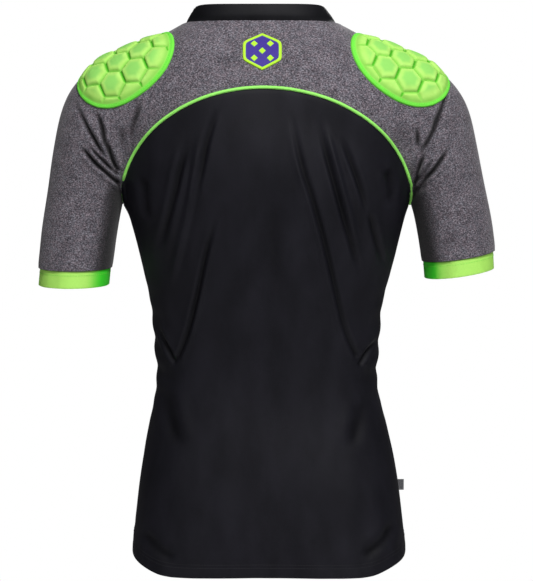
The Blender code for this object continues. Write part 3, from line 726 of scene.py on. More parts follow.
class Tree:
    """A material's nodes, with short ways to add and join them."""

    def __init__(self, name: str) -> None:
        self.material = bpy.data.materials.new(name)
        self.material.use_nodes = True
        self.nodes = self.material.node_tree.nodes
        self.links = self.material.node_tree.links
        self.shader = self.nodes["Principled BSDF"]

    def add(
        self, kind: str, inputs: dict[str, object] | None = None, **settings: object
    ) -> bpy.types.Node:
        """A new node.

        Args:
            kind: its type.
            inputs: values or sockets for some of its inputs, by name.
            settings: its other settings.

        Returns:
            The node.
        """
        node = self.nodes.new(kind)
        for key, value in settings.items():
            setattr(node, key, value)
        for key, value in (inputs or {}).items():
            self.feed(node.inputs[key], value)
        return node

    def feed(self, socket: Socket, value: object) -> None:
        """Joins a socket to another, or sets its value."""
        if isinstance(value, Socket):
            self.links.new(value, socket)
        else:
            socket.default_value = value

    def place(self, scale: Triple = (1.0, 1.0, 1.0), turn: float = 0.0) -> Socket:
        """Object coordinates, stretched and turned about Y."""
        spot = self.add("ShaderNodeTexCoord").outputs["Object"]
        inputs = {"Vector": spot, "Scale": scale, "Rotation": (0.0, turn, 0.0)}
        return self.add("ShaderNodeMapping", inputs).outputs["Vector"]

    def noise(self, vector: Socket, scale: float, detail: float = 2.0) -> Socket:
        """Soft noise from 0 to 1."""
        inputs = {"Vector": vector, "Scale": scale, "Detail": detail}
        return self.add("ShaderNodeTexNoise", inputs).outputs["Fac"]

    def wave(self, vector: Socket, pitch: float, direction: str, distortion: float = 0.0) -> Socket:
        """Even bands from 0 to 1, so many millimetres apart."""
        inputs = {"Vector": vector, "Scale": WAVE_PITCH / (pitch * MM), "Distortion": distortion}
        return self.add("ShaderNodeTexWave", inputs, bands_direction=direction).outputs["Fac"]

    def attribute(self, name: str) -> Socket:
        """A value that the mesh carries at each point."""
        return self.add("ShaderNodeAttribute", attribute_name=name).outputs["Fac"]

    def weigh(self, *parts: tuple[Socket, float]) -> Socket:
        """A weighted sum of values."""
        total: object = 0.0
        for value, share in parts:
            node = self.add("ShaderNodeMath", operation="MULTIPLY_ADD")
            for socket, number in zip(node.inputs, (value, share, total)):
                self.feed(socket, number)
            total = node.outputs[0]
        return total

    def ramp(self, value: Socket, *stops: tuple[float, Triple]) -> Socket:
        """A colour for each value."""
        node = self.add("ShaderNodeValToRGB", {"Fac": value})
        ramp = node.color_ramp
        while len(ramp.elements) < len(stops):
            ramp.elements.new(0.5)
        for element, (at, colour) in zip(ramp.elements, stops):
            element.position = at
            element.color = (*colour, 1.0)
        return node.outputs["Color"]

    def mix(self, share: object, first: object, second: object, blend: str = "MIX") -> Socket:
        """A colour between two others, or blended from them."""
        node = self.add("ShaderNodeMix", data_type="RGBA", blend_type=blend)
        self.feed(node.inputs[0], share)
        colours = [socket for socket in node.inputs if socket.type == "RGBA"]
        for socket, value in zip(colours, (first, second)):
            self.feed(socket, value if isinstance(value, Socket) else (*value, 1.0))
        return next(socket for socket in node.outputs if socket.type == "RGBA")

    def shade(self, colour: Socket, strength: float) -> Socket:
        """The colour, with painted shade multiplied in where the mesh's fold value marks creases and the
        sleeves' sides that face the body.
        """
        return self.mix(self.attribute("fold"), colour, (1 - strength,) * 3, "MULTIPLY")

    def gloss(self, roughness: float, specular: float, sheen: float = 0.0) -> None:
        """Sets how the surface takes the light."""
        self.shader.inputs["Roughness"].default_value = roughness
        self.shader.inputs["Specular IOR Level"].default_value = specular
        self.shader.inputs["Sheen Weight"].default_value = sheen
        self.shader.inputs["Sheen Roughness"].default_value = 0.5

    def finish(self, colour: Socket, height: Socket, depth: float) -> Material:
        """Joins colour and relief to the shader.

        Args:
            colour: the base colour.
            height: relief from 0 to 1.
            depth: its depth, in millimetres.

        Returns:
            The material.
        """
        inputs = {"Distance": depth * MM, "Strength": 1.0, "Height": height}
        bump = self.add("ShaderNodeBump", inputs)
        self.links.new(bump.outputs["Normal"], self.shader.inputs["Normal"])
        self.links.new(colour, self.shader.inputs["Base Color"])
        return self.material


@dataclass(frozen=True)
class Jersey:
    """Plain smooth stretch jersey in one colour, with fine knit wales."""

    name: str
    dark: Triple
    light: Triple
    roughness: float
    specular: float
    wale: float = 1.1

    def material(self) -> Material:
        """The material's nodes."""
        tree = Tree(self.name)
        spots = tree.place()
        cloud = tree.noise(tree.place((1.0, 1.0, 0.45)), 34.0, 3.0)
        yarn = tree.noise(tree.place((1.0, 1.0, 0.5)), 1900.0, 1.0)
        tone = tree.weigh((cloud, 0.55), (yarn, 0.45))
        colour = tree.ramp(tone, (0.36, self.dark), (0.66, self.light))
        wales = tree.wave(spots, self.wale, "X")
        courses = tree.wave(spots, 0.8 * self.wale, "Z")
        relief = tree.weigh((wales, 0.4), (courses, 0.3), (yarn, 0.5))
        tree.gloss(self.roughness, self.specular)
        # Painted shade: the colour darkens where the mesh's fold value marks creases.
        return tree.finish(tree.shade(colour, 0.6), relief, 0.12)


@dataclass(frozen=True)
class Heather:
    """Melange jersey: dark and pale fibres knitted together."""

    name: str
    dark: Triple
    middle: Triple
    pale: Triple

    def material(self) -> Material:
        """The material's nodes."""
        tree = Tree(self.name)
        fibre = tree.noise(tree.place((1.0, 1.0, 1.5), 0.5), 520.0, 3.0)
        cross = tree.noise(tree.place((1.6, 1.0, 1.0), -0.6), 830.0, 2.0)
        cloud = tree.noise(tree.place(), 60.0)
        tone = tree.weigh((fibre, 0.56), (cross, 0.34), (cloud, 0.10))
        colour = tree.ramp(tone, (0.38, self.dark), (0.50, self.middle), (0.63, self.pale))
        warm = tree.noise(tree.place(), 240.0)
        tint = tree.ramp(warm, (0.4, (0.92, 0.95, 1.0)), (0.6, (1.0, 0.93, 0.97)))
        tinted = tree.mix(1.0, colour, tint, "MULTIPLY")
        tree.gloss(0.85, 0.15, 0.12)
        # Painted shade: the colour darkens where the mesh's fold value marks creases and the sleeves'
        # sides that face the body.
        return tree.finish(tree.shade(tinted, 0.88), tone, 0.25)


@dataclass(frozen=True)
class Foam:
    """Moulded foam with a thin cloth face, more saturated on its rim, with painted shade in its grooves
    and a painted darker green over the middle of each cell.
    """

    name: str
    cell: Triple
    middle: Triple
    groove: Triple
    rim: Triple

    def material(self) -> Material:
        """The material's nodes."""
        tree = Tree(self.name)
        spots = tree.place()
        cloud = tree.noise(spots, 70.0, 3.0)
        grain = tree.noise(spots, 1500.0)
        paler = tuple(min(1.0, 1.12 * part + 0.02) for part in self.cell)
        bevel = tree.ramp(cloud, (0.35, self.cell), (0.68, paler))
        # Painted shade: a darker, fuller green over each cell's middle and in the grooves, as the mesh's
        # middle and groove values say.
        top = tree.mix(tree.attribute("middle"), bevel, self.middle)
        body = tree.mix(tree.attribute("groove"), top, self.groove)
        colour = tree.mix(tree.attribute("rim"), body, self.rim)
        tree.gloss(0.8, 0.0)
        return tree.finish(colour, grain, 0.1)


@dataclass(frozen=True)
class Elastic:
    """Ribbed elastic band, with a fuller green mixed in as painted shadow where the mesh's fold value
    marks shade.
    """

    name: str
    light: Triple
    dark: Triple
    shadow: Triple = (0.002, 0.66, 0.012)

    def material(self) -> Material:
        """The material's nodes."""
        tree = Tree(self.name)
        rib = tree.wave(tree.place(), 1.25, "Z")
        yarn = tree.noise(tree.place((1.0, 1.0, 3.0)), 900.0)
        tone = tree.weigh((rib, 0.35), (yarn, 0.65))
        colour = tree.ramp(tone, (0.3, self.dark), (0.62, self.light))
        # Painted shadow: a fuller green where the mesh's fold value marks the cuffs' sides that face the
        # body.
        colour = tree.mix(tree.attribute("fold"), colour, self.shadow)
        tree.gloss(0.6, 0.25)
        return tree.finish(colour, tree.weigh((rib, 1.0), (yarn, 0.4)), 0.22)


@dataclass(frozen=True)
class Embroidery:
    """A woven ground with raised satin stitches where the mesh says so."""

    name: str
    ground: Triple
    thread: Triple

    def material(self) -> Material:
        """The material's nodes."""
        tree = Tree(self.name)
        twill = tree.wave(tree.place(turn=0.78), 1.0, "X")
        satin = tree.wave(tree.place(turn=-0.5), 0.75, "X", 0.4)
        part = tree.attribute("thread")
        dim = tuple(0.6 * value for value in self.ground)
        low = tuple(0.72 * value for value in self.thread)
        cloth = tree.mix(twill, dim, self.ground)
        sewn = tree.mix(satin, low, self.thread)
        relief = tree.add("ShaderNodeMix", data_type="FLOAT")
        floats = [socket for socket in relief.inputs if socket.type == "VALUE"]
        for socket, value in zip(floats, (part, twill, satin)):
            tree.feed(socket, value)
        result = next(socket for socket in relief.outputs if socket.type == "VALUE")
        tree.gloss(0.5, 0.3)
        return tree.finish(tree.mix(part, cloth, sewn), result, 0.18)


@dataclass(frozen=True)
class Thread:
    """Sewing thread in one colour."""

    name: str
    light: Triple
    dark: Triple

    def material(self) -> Material:
        """The material's nodes."""
        tree = Tree(self.name)
        twist = tree.wave(tree.place(turn=0.7), 0.5, "X")
        colour = tree.mix(twist, self.dark, self.light)
        tree.gloss(0.55, 0.3)
        return tree.finish(colour, twist, 0.06)


@dataclass(frozen=True)
class Paint:
    """The plain pale finish of the studio floor."""

    name: str
    colour: Triple

    def material(self) -> Material:
        """The material's nodes."""
        tree = Tree(self.name)
        cloud = tree.noise(tree.place(), 2.0)
        dim = tuple(0.985 * value for value in self.colour)
        tree.gloss(0.9, 0.1)
        return tree.finish(tree.mix(cloud, dim, self.colour), cloud, 0.05)


BLACK = Jersey("black_jersey_cloth", (0.0051, 0.0050, 0.0072), (0.0108, 0.0104, 0.0148), 0.52, 0.12)
COLLAR_BLACK = Jersey(
    "collar_jersey_cloth", (0.0036, 0.0036, 0.0048), (0.0078, 0.0078, 0.0098), 0.6, 0.12, 0.9
)
HEATHER = Heather(
    "heather_jersey_cloth", (0.0235, 0.0207, 0.0247), (0.092, 0.083, 0.094), (0.262, 0.243, 0.264)
)
# Foam colours: cell face, painted shade over cell middles, painted shade in the grooves, rim.
FOAM = Foam(
    "lime_foam_face", (0.345, 0.63, 0.125), (0.245, 0.58, 0.12), (0.07, 0.40, 0.02), (0.15, 0.66, 0.06)
)
LIME = Elastic("lime_elastic_band", (0.45, 0.86, 0.15), (0.36, 0.74, 0.11))
CORD_LIME = Elastic("lime_piping_cloth", (0.33, 0.85, 0.16), (0.24, 0.72, 0.10))
PATCH = Embroidery("badge_weave_thread", (0.045, 0.021, 0.30), (0.50, 0.90, 0.03))
BLACK_THREAD = Thread("black_thread", (0.018, 0.018, 0.021), (0.008, 0.008, 0.010))
LIME_THREAD = Thread("lime_thread", (0.26, 0.82, 0.10), (0.14, 0.58, 0.05))
LABEL = Elastic("label_tape_weave", (0.13, 0.13, 0.14), (0.04, 0.04, 0.045))
FLOOR = Paint("studio_floor", (0.86, 0.86, 0.86))


def dress(piece: Piece, material: Material, slot: str, *nodes: str) -> None:
    """Shades a finished piece smooth, and gives it its material and its place in the object.

    Args:
        piece: the piece.
        material: its material.
        slot: not used.
        nodes: solids that it stands for.
    """
    smooth(piece)
    piece.data.materials.clear()
    piece.data.materials.append(material)
    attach(piece, "root")
    if nodes:
        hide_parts(*nodes)
    LOG.info("%s: %d faces", piece.name, len(piece.data.polygons))


@dataclass
class Panels:
    """The black back and front panels and the heather yoke with its sleeves."""

    cloth: float = 1.6
    panel_levels: int = 2
    panel_reach: float = 8.0
    yoke_levels: int = 2
    seam_reach: float = 1.2
    seam_pull: float = 0.5
    seam_width: float = 4.0
    hem_width: float = 12.0
    hem_step: float = 0.5
    hem_soft: tuple[float, float] = (3.0, 1.5)
    hem_groove: float = 0.45
    hem_groove_half: float = 2.6
    ripple_share: float = 0.6
    yoke_ripple: float = 0.45
    panel_gain: float = 2.2
    arm_gain: float = 1.7
    notch_lift: dict[Side, float] = field(default_factory=lambda: {Side.LEFT: 11.0, Side.RIGHT: 8.0})
    notch_reach: float = 17.0
    notch_out: float = 177.0
    notch_down: float = 209.0
    fine_reach: tuple[tuple[Face, float], ...] = (
        (Face.FRONT, 6.5), (Face.BACK, 8.0), (Face.BACK, 4.5),
    )
    seam_gap: float = 4.0
    seam_calm: float = 6.0
    deep_fold: float = 3.0
    sleeve_shade: float = 1.0
    hem_level: float = 4.5
    hem_corner: float = 6.0
    hem_half: float = 115.0
    hem_corner_range: tuple[float, float] = (125.0, 165.0)
    hem_heights: tuple[float, float] = (-660.0, -560.0)
    hem_points: int = 720
    end_reach: float = 28.0

    def build(self) -> None:
        """Makes the sheets, smooth and without a wall."""
        self.back = outer_sheet("back_panel", "back_panel_cloth", (0, -1, 0), self.cloth)
        self.front = outer_sheet("front_panel", "front_panel_cloth", (0, 1, 0), self.cloth)
        yoke = outer_sheet("yoke", "yoke_and_sleeves_cloth", (0, -1, 0), self.cloth)
        sleeves = []
        for side in Side:
            node = "sleeve_" + side.word
            sleeves.append(outer_sheet(node, node + "_sheet", (side.value, 0, 0), self.cloth))
        for sheet in (self.back, self.front, yoke, *sleeves):
            points = spots_of(sheet)
            normals = normals_of(sheet)
            put_spots(sheet, points - normals * solid_fold_height(points, normals)[:, None])
        self.yoke = sew([yoke, *sleeves], self.seam_reach)
        for sheet, face in ((self.back, Face.BACK), (self.front, Face.FRONT)):
            refine(sheet, self.panel_levels)
            split_upright(sheet)
            middles = np.array([polygon.center for polygon in sheet.data.polygons])
            refine_area(sheet, near_crease(middles, LONG_CREASES[face], self.panel_reach))
        refine(self.yoke, self.yoke_levels)
        for face, reach in self.fine_reach:
            middles = np.array([polygon.center for polygon in self.yoke.data.polygons])
            facing = middles[:, 1] * face.value > 0
            refine_area(self.yoke, facing & near_crease(middles, SLEEVE_CREASES[face], reach))
        self.sheets = (self.back, self.front, self.yoke)
        self.close_seams()
        for sheet in self.sheets:
            put_spots(sheet, self.level_hem(self.lift_notch(spots_of(sheet))))
        self.lift_ends()
        self.smooth_ground = Ground(self.sheets)

    def close_seams(self) -> None:
        """Brings the edges of neighbouring sheets together on the line between them."""
        lines = []
        for sheet in self.sheets:
            points = spots_of(sheet)
            loops = [even_line(points[loop], 0.4 * MM, True) for loop in edge_loops(sheet)]
            lines.append(np.concatenate(loops))
        for k, sheet in enumerate(self.sheets):
            others = np.concatenate(lines[:k] + lines[k + 1:])
            points = spots_of(sheet)
            loop = np.concatenate(edge_loops(sheet))
            spots, gaps = nearest(points[loop], others)
            near = gaps < self.seam_gap * MM
            points[loop[near]] = (points[loop[near]] + spots[near]) / 2
            put_spots(sheet, points)

    def level_hem(self, points: Array) -> Array:
        """Lifts the middle of the back hem and the hem's corners a little."""
        result = points.copy()
        across = points[:, 0] / MM
        middle = self.hem_level * np.clip(1 - (across / self.hem_half) ** 2, 0, 1) * (points[:, 1] < 0)
        corner = self.hem_corner * ease(*self.hem_corner_range, np.abs(across))
        low = 1 - ease(*self.hem_heights, points[:, 2] / MM)
        result[:, 2] += (middle + corner) * MM * low
        return result

    def lift_ends(self) -> None:
        """Draws the ends of the sleeves up a little, so that more of the cuffs shows."""
        points = spots_of(self.yoke)
        for loop in edge_loops(self.yoke):
            end = points[loop]
            if end[:, 2].max() > SLEEVE_ENDS_BELOW:
                continue
            gap = gap_to(points, end) / MM
            points[:, 2] += CUFF_LIFT * MM * (1 - ease(0.0, self.end_reach, gap))
        put_spots(self.yoke, points)

    def lift_notch(self, points: Array) -> Array:
        """Draws the notch between sleeve and body up again, which refining has filled."""
        result = points.copy()
        for side, lift in self.notch_lift.items():
            across = (points[:, 0] * side.value / MM - self.notch_out) / self.notch_reach
            down = (points[:, 2] / MM + self.notch_down) / self.notch_reach
            result[:, 2] += lift * MM * np.exp(-across ** 2 - down ** 2)
        return result

    def crease(self) -> None:
        """Lays creases, ripples, seams and the turned hem into the sheets, and writes their painted shade
        as the fold value.
        """
        for sheet in self.sheets:
            points = spots_of(sheet)
            normals = normals_of(sheet)
            edge = points[np.concatenate(edge_loops(sheet))]
            seam = gap_to(points, edge) / MM
            folds = crease_height(points, normals)
            if sheet is self.yoke:
                ripple = self.ripple_share * self.yoke_ripple
                folds = folds * self.arm_gain * ease(0.0, self.seam_calm, seam)
                # Painted shade on the sleeves' sides that face the body.
                shade = self.sleeve_shade * toward_body(points, normals)
                step = 0.0
            else:
                ripple = self.ripple_share
                folds = folds * self.panel_gain
                shade = 0.0
                step = self.hem_relief(points, edge)
            # Painted shade in the crease troughs, full at deep_fold millimetres deep, kept as the fold
            # value together with the sleeves' painted shade.
            painted_crease_shade = np.clip(-folds / (self.deep_fold * MM), 0, 1)
            put_values(sheet, "fold", np.maximum(painted_crease_shade, shade))
            height = folds + ripple_height(points) * ripple + waist_height(points, normals)
            height = height - self.seam_pull * MM * np.exp(-(seam / self.seam_width) ** 2) + step
            put_spots(sheet, points + normals * height[:, None])
        self.ground = Ground(self.sheets)

    def hem_relief(self, points: Array, edge: Array) -> Array:
        """The step of the turned hem and the groove along its stitches, in metres."""
        hem = gap_to(points, edge[edge[:, 2] < HEM_BELOW]) / MM
        before, after = self.hem_soft
        turned = 1 - ease(self.hem_width - before, self.hem_width + after, hem)
        groove = np.exp(-((hem - self.hem_width) / self.hem_groove_half) ** 2)
        return (self.hem_step * turned - self.hem_groove * groove) * MM

    def arch_line(self) -> Array:
        """The seam between the back panel and the yoke."""
        loop = max(edge_loops(self.back), key=len)
        others = spots_of(self.yoke)[np.concatenate(edge_loops(self.yoke))]
        points = spots_of(self.back)
        near = gap_to(points[loop], others) < self.seam_gap * MM
        return points[run_where(loop, near)]

    def hem_line(self, rise: float) -> Array:
        """A line round the lower edge, some millimetres above it."""
        edges = []
        for sheet in (self.back, self.front):
            points = spots_of(sheet)[np.concatenate(edge_loops(sheet))]
            edges.append(points[points[:, 2] < HEM_BELOW])
        edge = np.concatenate(edges)
        turn = np.arctan2(edge[:, 1], edge[:, 0])
        order = np.argsort(turn)
        angle = np.linspace(-math.pi, math.pi, self.hem_points, endpoint=False)
        height = np.interp(angle, turn[order], edge[order, 2], period=2 * math.pi) + rise * MM
        spots = []
        for a, z in zip(angle, height):
            way = np.array((math.cos(a), math.sin(a), 0.0))
            start = Vector(way * 0.4 + np.array((0, 0, z)))
            spot = self.ground.tree.ray_cast(start, Vector(-way))[0]
            if spot is not None:
                spots.append(np.array(spot))
        return np.array(spots)

    def dress(self) -> None:
        """Gives the sheets their walls and materials."""
        black = BLACK.material()
        for sheet, node, flat, area in (
            (self.back, "back_panel", (0.52, 0.62), 0.232),
            (self.front, "front_panel", (0.52, 0.60), 0.224),
        ):
            wall(sheet, self.cloth)
            dress(sheet, black, "black_jersey", node)
        wall(self.yoke, self.cloth)
        nodes = ("yoke", "sleeve_left", "sleeve_right")
        dress(self.yoke, HEATHER.material(), "heather_jersey", *nodes)


@dataclass
class Bands:
    """The stand collar and the two elastic cuffs."""

    collar_cloth: float = 2.4
    collar_tuck: float = 2.2
    tuck_zone: float = 0.3
    tuck_in: float = 0.7
    collar_hollow: float = 7.0
    flare_zone: float = 0.24
    flare_power: float = 0.8
    flare_sides: tuple[float, float] = (0.45, 0.95)
    cuff_cloth: float = 2.0
    rounding: float = 0.6
    cuff_gather: float = 0.3
    cuff_shade: float = 0.9
    cuff_waves: int = 7
    slices: int = 64

    def band(self, node: str, name: str, toward: Triple, cloth: float) -> Piece:
        """A band with a wall and rounded edges.

        Args:
            node: the solid that it stands for.
            name: its name.
            toward: where its outer side reaches furthest.
            cloth: its thickness, in millimetres.

        Returns:
            The band.
        """
        piece = outer_sheet(node, name, toward, cloth)
        refine(piece, 2)
        wall(piece, cloth)
        modify(
            piece, "BEVEL", width=self.rounding * MM, segments=2,
            limit_method="ANGLE", angle_limit=math.radians(60),
        )
        return piece

    def rise(self, band: Piece) -> Array:
        """How high up the band each point is, from 0 at its lower edge to 1 at its upper edge."""
        points = spots_of(band)
        middle = points.mean(0)
        turn = np.arctan2(points[:, 1] - middle[1], points[:, 0] - middle[0])
        part = ((turn + math.pi) / (2 * math.pi) * self.slices).astype(int) % self.slices
        low = np.array([points[part == k, 2].min() for k in range(self.slices)])
        high = np.array([points[part == k, 2].max() for k in range(self.slices)])
        return (points[:, 2] - low[part]) / (high[part] - low[part])

    def hollow(self, band: Piece, amount: float) -> None:
        """Makes a band stand up steeply at the sides of the neck, from a short flare."""
        points = spots_of(band)
        middle = (points.min(0) + points.max(0)) / 2
        side = (points[:, 0] - middle[0]) / np.ptp(points[:, 0]) * 2
        rise = np.clip(self.rise(band), 0, 1)
        share = ease(0.0, self.flare_zone, rise) * (1 - rise) ** self.flare_power
        share = share * ease(*self.flare_sides, np.abs(side))
        points[:, 0] -= np.sign(side) * amount * MM * share
        put_spots(band, points)

    def tuck(self, band: Piece, amount: float) -> None:
        """Draws a band's lower edge down and in, so that it goes under the cloth it is sewn to."""
        points = spots_of(band)
        share = 1 - ease(0.0, self.tuck_zone, self.rise(band))
        inward = points.mean(0) - points
        inward[:, 2] = 0
        shift = unit(inward) * self.tuck_in + np.array((0.0, 0.0, -1.0))
        put_spots(band, points + shift * (share * amount * MM)[:, None])

    def build(self) -> None:
        """Makes the bands."""
        self.collar = self.band("collar", "collar_band", (0, -1, 0), self.collar_cloth)
        self.hollow(self.collar, self.collar_hollow)
        self.tuck(self.collar, self.collar_tuck)
        self.cuffs = {}
        for side in Side:
            node = "cuff_" + side.word
            cuff = self.band(node, node + "_band", (side.value, 0, 0), self.cuff_cloth)
            points = spots_of(cuff)
            out = points - points.mean(0)
            turn = np.arctan2(out[:, 1], out[:, 0])
            wave = np.sin(self.cuff_waves * turn + 1.5 * np.sin(3 * turn))
            out[:, 2] = 0
            spots = points + unit(out) * (self.cuff_gather * MM * wave)[:, None]
            spots[:, 2] += CUFF_LIFT * MM * self.rise(cuff)
            put_spots(cuff, spots)
            self.cuffs[side] = cuff

    def dress(self) -> None:
        """Gives the bands their materials."""
        dress(self.collar, COLLAR_BLACK.material(), "collar_jersey", "collar")
        lime = LIME.material()
        for side, cuff in self.cuffs.items():
            # Painted shade: the cuffs' sides that face the body take the band's painted shadow colour.
            shade = self.cuff_shade * toward_body(spots_of(cuff), normals_of(cuff))
            put_values(cuff, "fold", shade)
            dress(cuff, lime, "lime_elastic", "cuff_" + side.word)


def even_out(grid: Array, passes: int) -> Array:
    """Smooths a grid of points, its border only along itself."""
    for _ in range(passes):
        result = grid.copy()
        cross = grid[:-2, 1:-1] + grid[2:, 1:-1] + grid[1:-1, :-2] + grid[1:-1, 2:]
        result[1:-1, 1:-1] = (grid[1:-1, 1:-1] + cross / 4) / 2
        for edge in ((0, slice(None)), (-1, slice(None)), (slice(None), 0), (slice(None), -1)):
            line = grid[edge]
            result[edge][1:-1] = (2 * line[1:-1] + line[:-2] + line[2:]) / 4
        grid = result
    return grid


@dataclass
class ShoulderPad:
    """A foam pad of raised hexagon cells, laid over one shoulder."""

    side: Side
    out: float
    cell_shift: float
    lean: float = math.radians(38.0)
    fall: float = 0.45
    feel: float = 8.0
    probe_z: float = -100.0
    probe_out: float = 200.0
    half_length: float = 67.0
    half_width: float = 57.5
    squareness: float = 2.3
    rim_width: float = 5.2
    rim_top: float = 2.6
    rim_round: float = 2.2
    rim_blend: float = 1.2
    groove_top: float = 4.4
    cell_edge: float = 7.6
    cell_top: float = 9.0
    pitch: float = 31.0
    groove_half: float = 0.5
    shoulder: float = 3.6
    shoulder_power: float = 2.3
    middle_range: tuple[float, float] = (0.25, 0.62)
    border_slope: float = 0.55
    border_painted_shade: float = 0.45
    border_drop: float = 0.62
    border_reach: float = 22.0
    groove_painted_shade: float = 0.5
    bed: float = -0.6
    columns: int = 120
    rows: int = 108
    evening: int = 40
    seam_in: float = 3.6
    seam_points: int = 240

    def place(self, ground: Ground) -> Place:
        """Where the pad lies on the shoulder."""
        middle = np.array((self.side.value * self.out, 0.0, self.probe_z)) * MM
        way = np.array((0.0, -math.sin(self.lean), math.cos(self.lean)))
        start, _ = ground.hit(middle + way * self.probe_out * MM, -way)
        ring = np.array([(math.cos(a), math.sin(a)) for a in np.linspace(0, 2 * math.pi, 12)])
        across = np.cross(way, X_AXIS)
        around = start + self.feel * MM * (ring[:, :1] * X_AXIS + ring[:, 1:] * across)
        normal = unit(ground.settle(around)[1].mean(0))
        along = tangent(np.array((float(self.side.value), 0.0, -self.fall)), normal)
        return Place(start, along, np.cross(normal, along) * self.side.value)

    def radius(self, angle: Array) -> Array:
        """The outline's reach in each direction, in millimetres."""
        c = np.abs(np.cos(angle)) / self.half_length
        s = np.abs(np.sin(angle)) / self.half_width
        return (c ** self.squareness + s ** self.squareness) ** (-1 / self.squareness)

    def inside(self, flat: Array) -> Array:
        """Distance in from the outline, in millimetres."""
        reach = np.hypot(flat[:, 0], flat[:, 1])
        return self.radius(np.arctan2(flat[:, 1], flat[:, 0])) - reach

    def cell_depth(self, flat: Array) -> tuple[Array, Array]:
        """The cells of the pad.

        Returns:
            Distance in from the nearest cell's edge, in millimetres, and where that edge
            runs across the pad.
        """
        x, y = flat.T
        x = x - self.cell_shift
        step = self.pitch * math.sqrt(3) / 2
        turns = np.radians((0.0, 60.0, 120.0))
        best = np.full(len(flat), -1e9)
        across = np.zeros(len(flat), bool)
        for row in range(-4, 5):
            for column in range(-5, 6):
                dx = x - (column + 0.5 * (row % 2)) * self.pitch
                dy = y - row * step
                spread = np.abs(np.outer(np.cos(turns), dx) + np.outer(np.sin(turns), dy))
                depth = self.pitch / 2 - spread.max(0)
                across = np.where(depth > best, spread.argmax(0) == 0, across)
                best = np.maximum(best, depth)
        return best, across

    def height(self, flat: Array) -> tuple[Array, dict[str, Array]]:
        """The pad's relief.

        Returns:
            Heights in millimetres, and how far each point takes the painted groove shade, the rim colour
            and the painted middle shade, from 0 to 1.
        """
        inside = self.inside(flat)
        cells, across = self.cell_depth(flat)
        border = (inside - self.rim_width) * self.border_slope
        depth = np.minimum(cells, border)
        # Painted groove shade, as light from above would leave it: full in grooves that run across the
        # pad, weaker in the others and at the foot of the border slope.
        tone = np.where(border < cells, self.border_painted_shade, np.where(across, 1.0, self.groove_painted_shade))
        share = np.clip((depth - self.groove_half) / self.shoulder, 0, 1)
        rise = 1 - (1 - share) ** self.shoulder_power
        crown = np.clip((depth - self.groove_half) / (self.pitch / 2), 0, 1)
        crown = 1 - (1 - crown) ** 2
        cell = self.groove_top + (self.cell_edge - self.groove_top) * rise
        cell = cell + (self.cell_top - self.cell_edge) * crown
        taper = 1 - self.border_drop * (1 - ease(0.0, self.border_reach, inside - self.rim_width))
        cell = self.rim_top + (cell - self.rim_top) * taper
        edge = np.clip(inside / self.rim_round, 0, 1)
        rim = self.rim_top * np.sqrt(np.clip(1 - (1 - edge) ** 2, 0, 1))
        onto = ease(self.rim_width - self.rim_blend, self.rim_width + self.rim_blend, inside)
        # The middle value paints a darker green over the middle of each cell as painted shade.
        parts = {
            "groove": onto * tone * (1 - ease(0.0, np.where(border < cells, 1.0, 0.6), share)),
            "rim": 1 - onto,
            "middle": onto * ease(*self.middle_range, depth / (self.pitch / 2)),
        }
        return rim * (1 - onto) + cell * onto, parts

    def build(self, ground: Ground) -> None:
        """Makes the pad as a closed foam piece."""
        piece = flat_grid(f"pad_{self.side.word}_foam", self.columns, self.rows)
        disc = disc_of(piece)
        flat = disc * self.radius(np.arctan2(disc[:, 1], disc[:, 0]))[:, None]
        place = self.place(ground)
        spots = ground.walk(place, flat * MM).reshape(self.rows + 1, self.columns + 1, 3)
        put_spots(piece, even_out(spots, self.evening).reshape(-1, 3))
        base = spots_of(piece)
        normals = normals_of(piece)
        if (normals.mean(0) @ np.cross(place.along, place.across)) * self.side.value < 0:
            normals = -normals
        height, parts = self.height(flat)
        high = base + normals * height[:, None] * MM
        close_relief(piece, high, base + normals * self.bed * MM, parts)
        self.piece = piece
        angle = np.linspace(0, 2 * math.pi, self.seam_points, endpoint=False)
        ring = np.stack((np.cos(angle), np.sin(angle)), axis=1)
        ring = ring * (self.radius(angle) - self.seam_in)[:, None]
        spots = ground.walk(place, ring * MM)
        self.seam_normals = ground.settle(spots)[1]
        self.seam = spots + self.seam_normals * self.rim_top * MM

    def dress(self, material: Material) -> None:
        """Gives the pad its material."""
        dress(self.piece, material, "lime_foam", "pad_" + self.side.word)


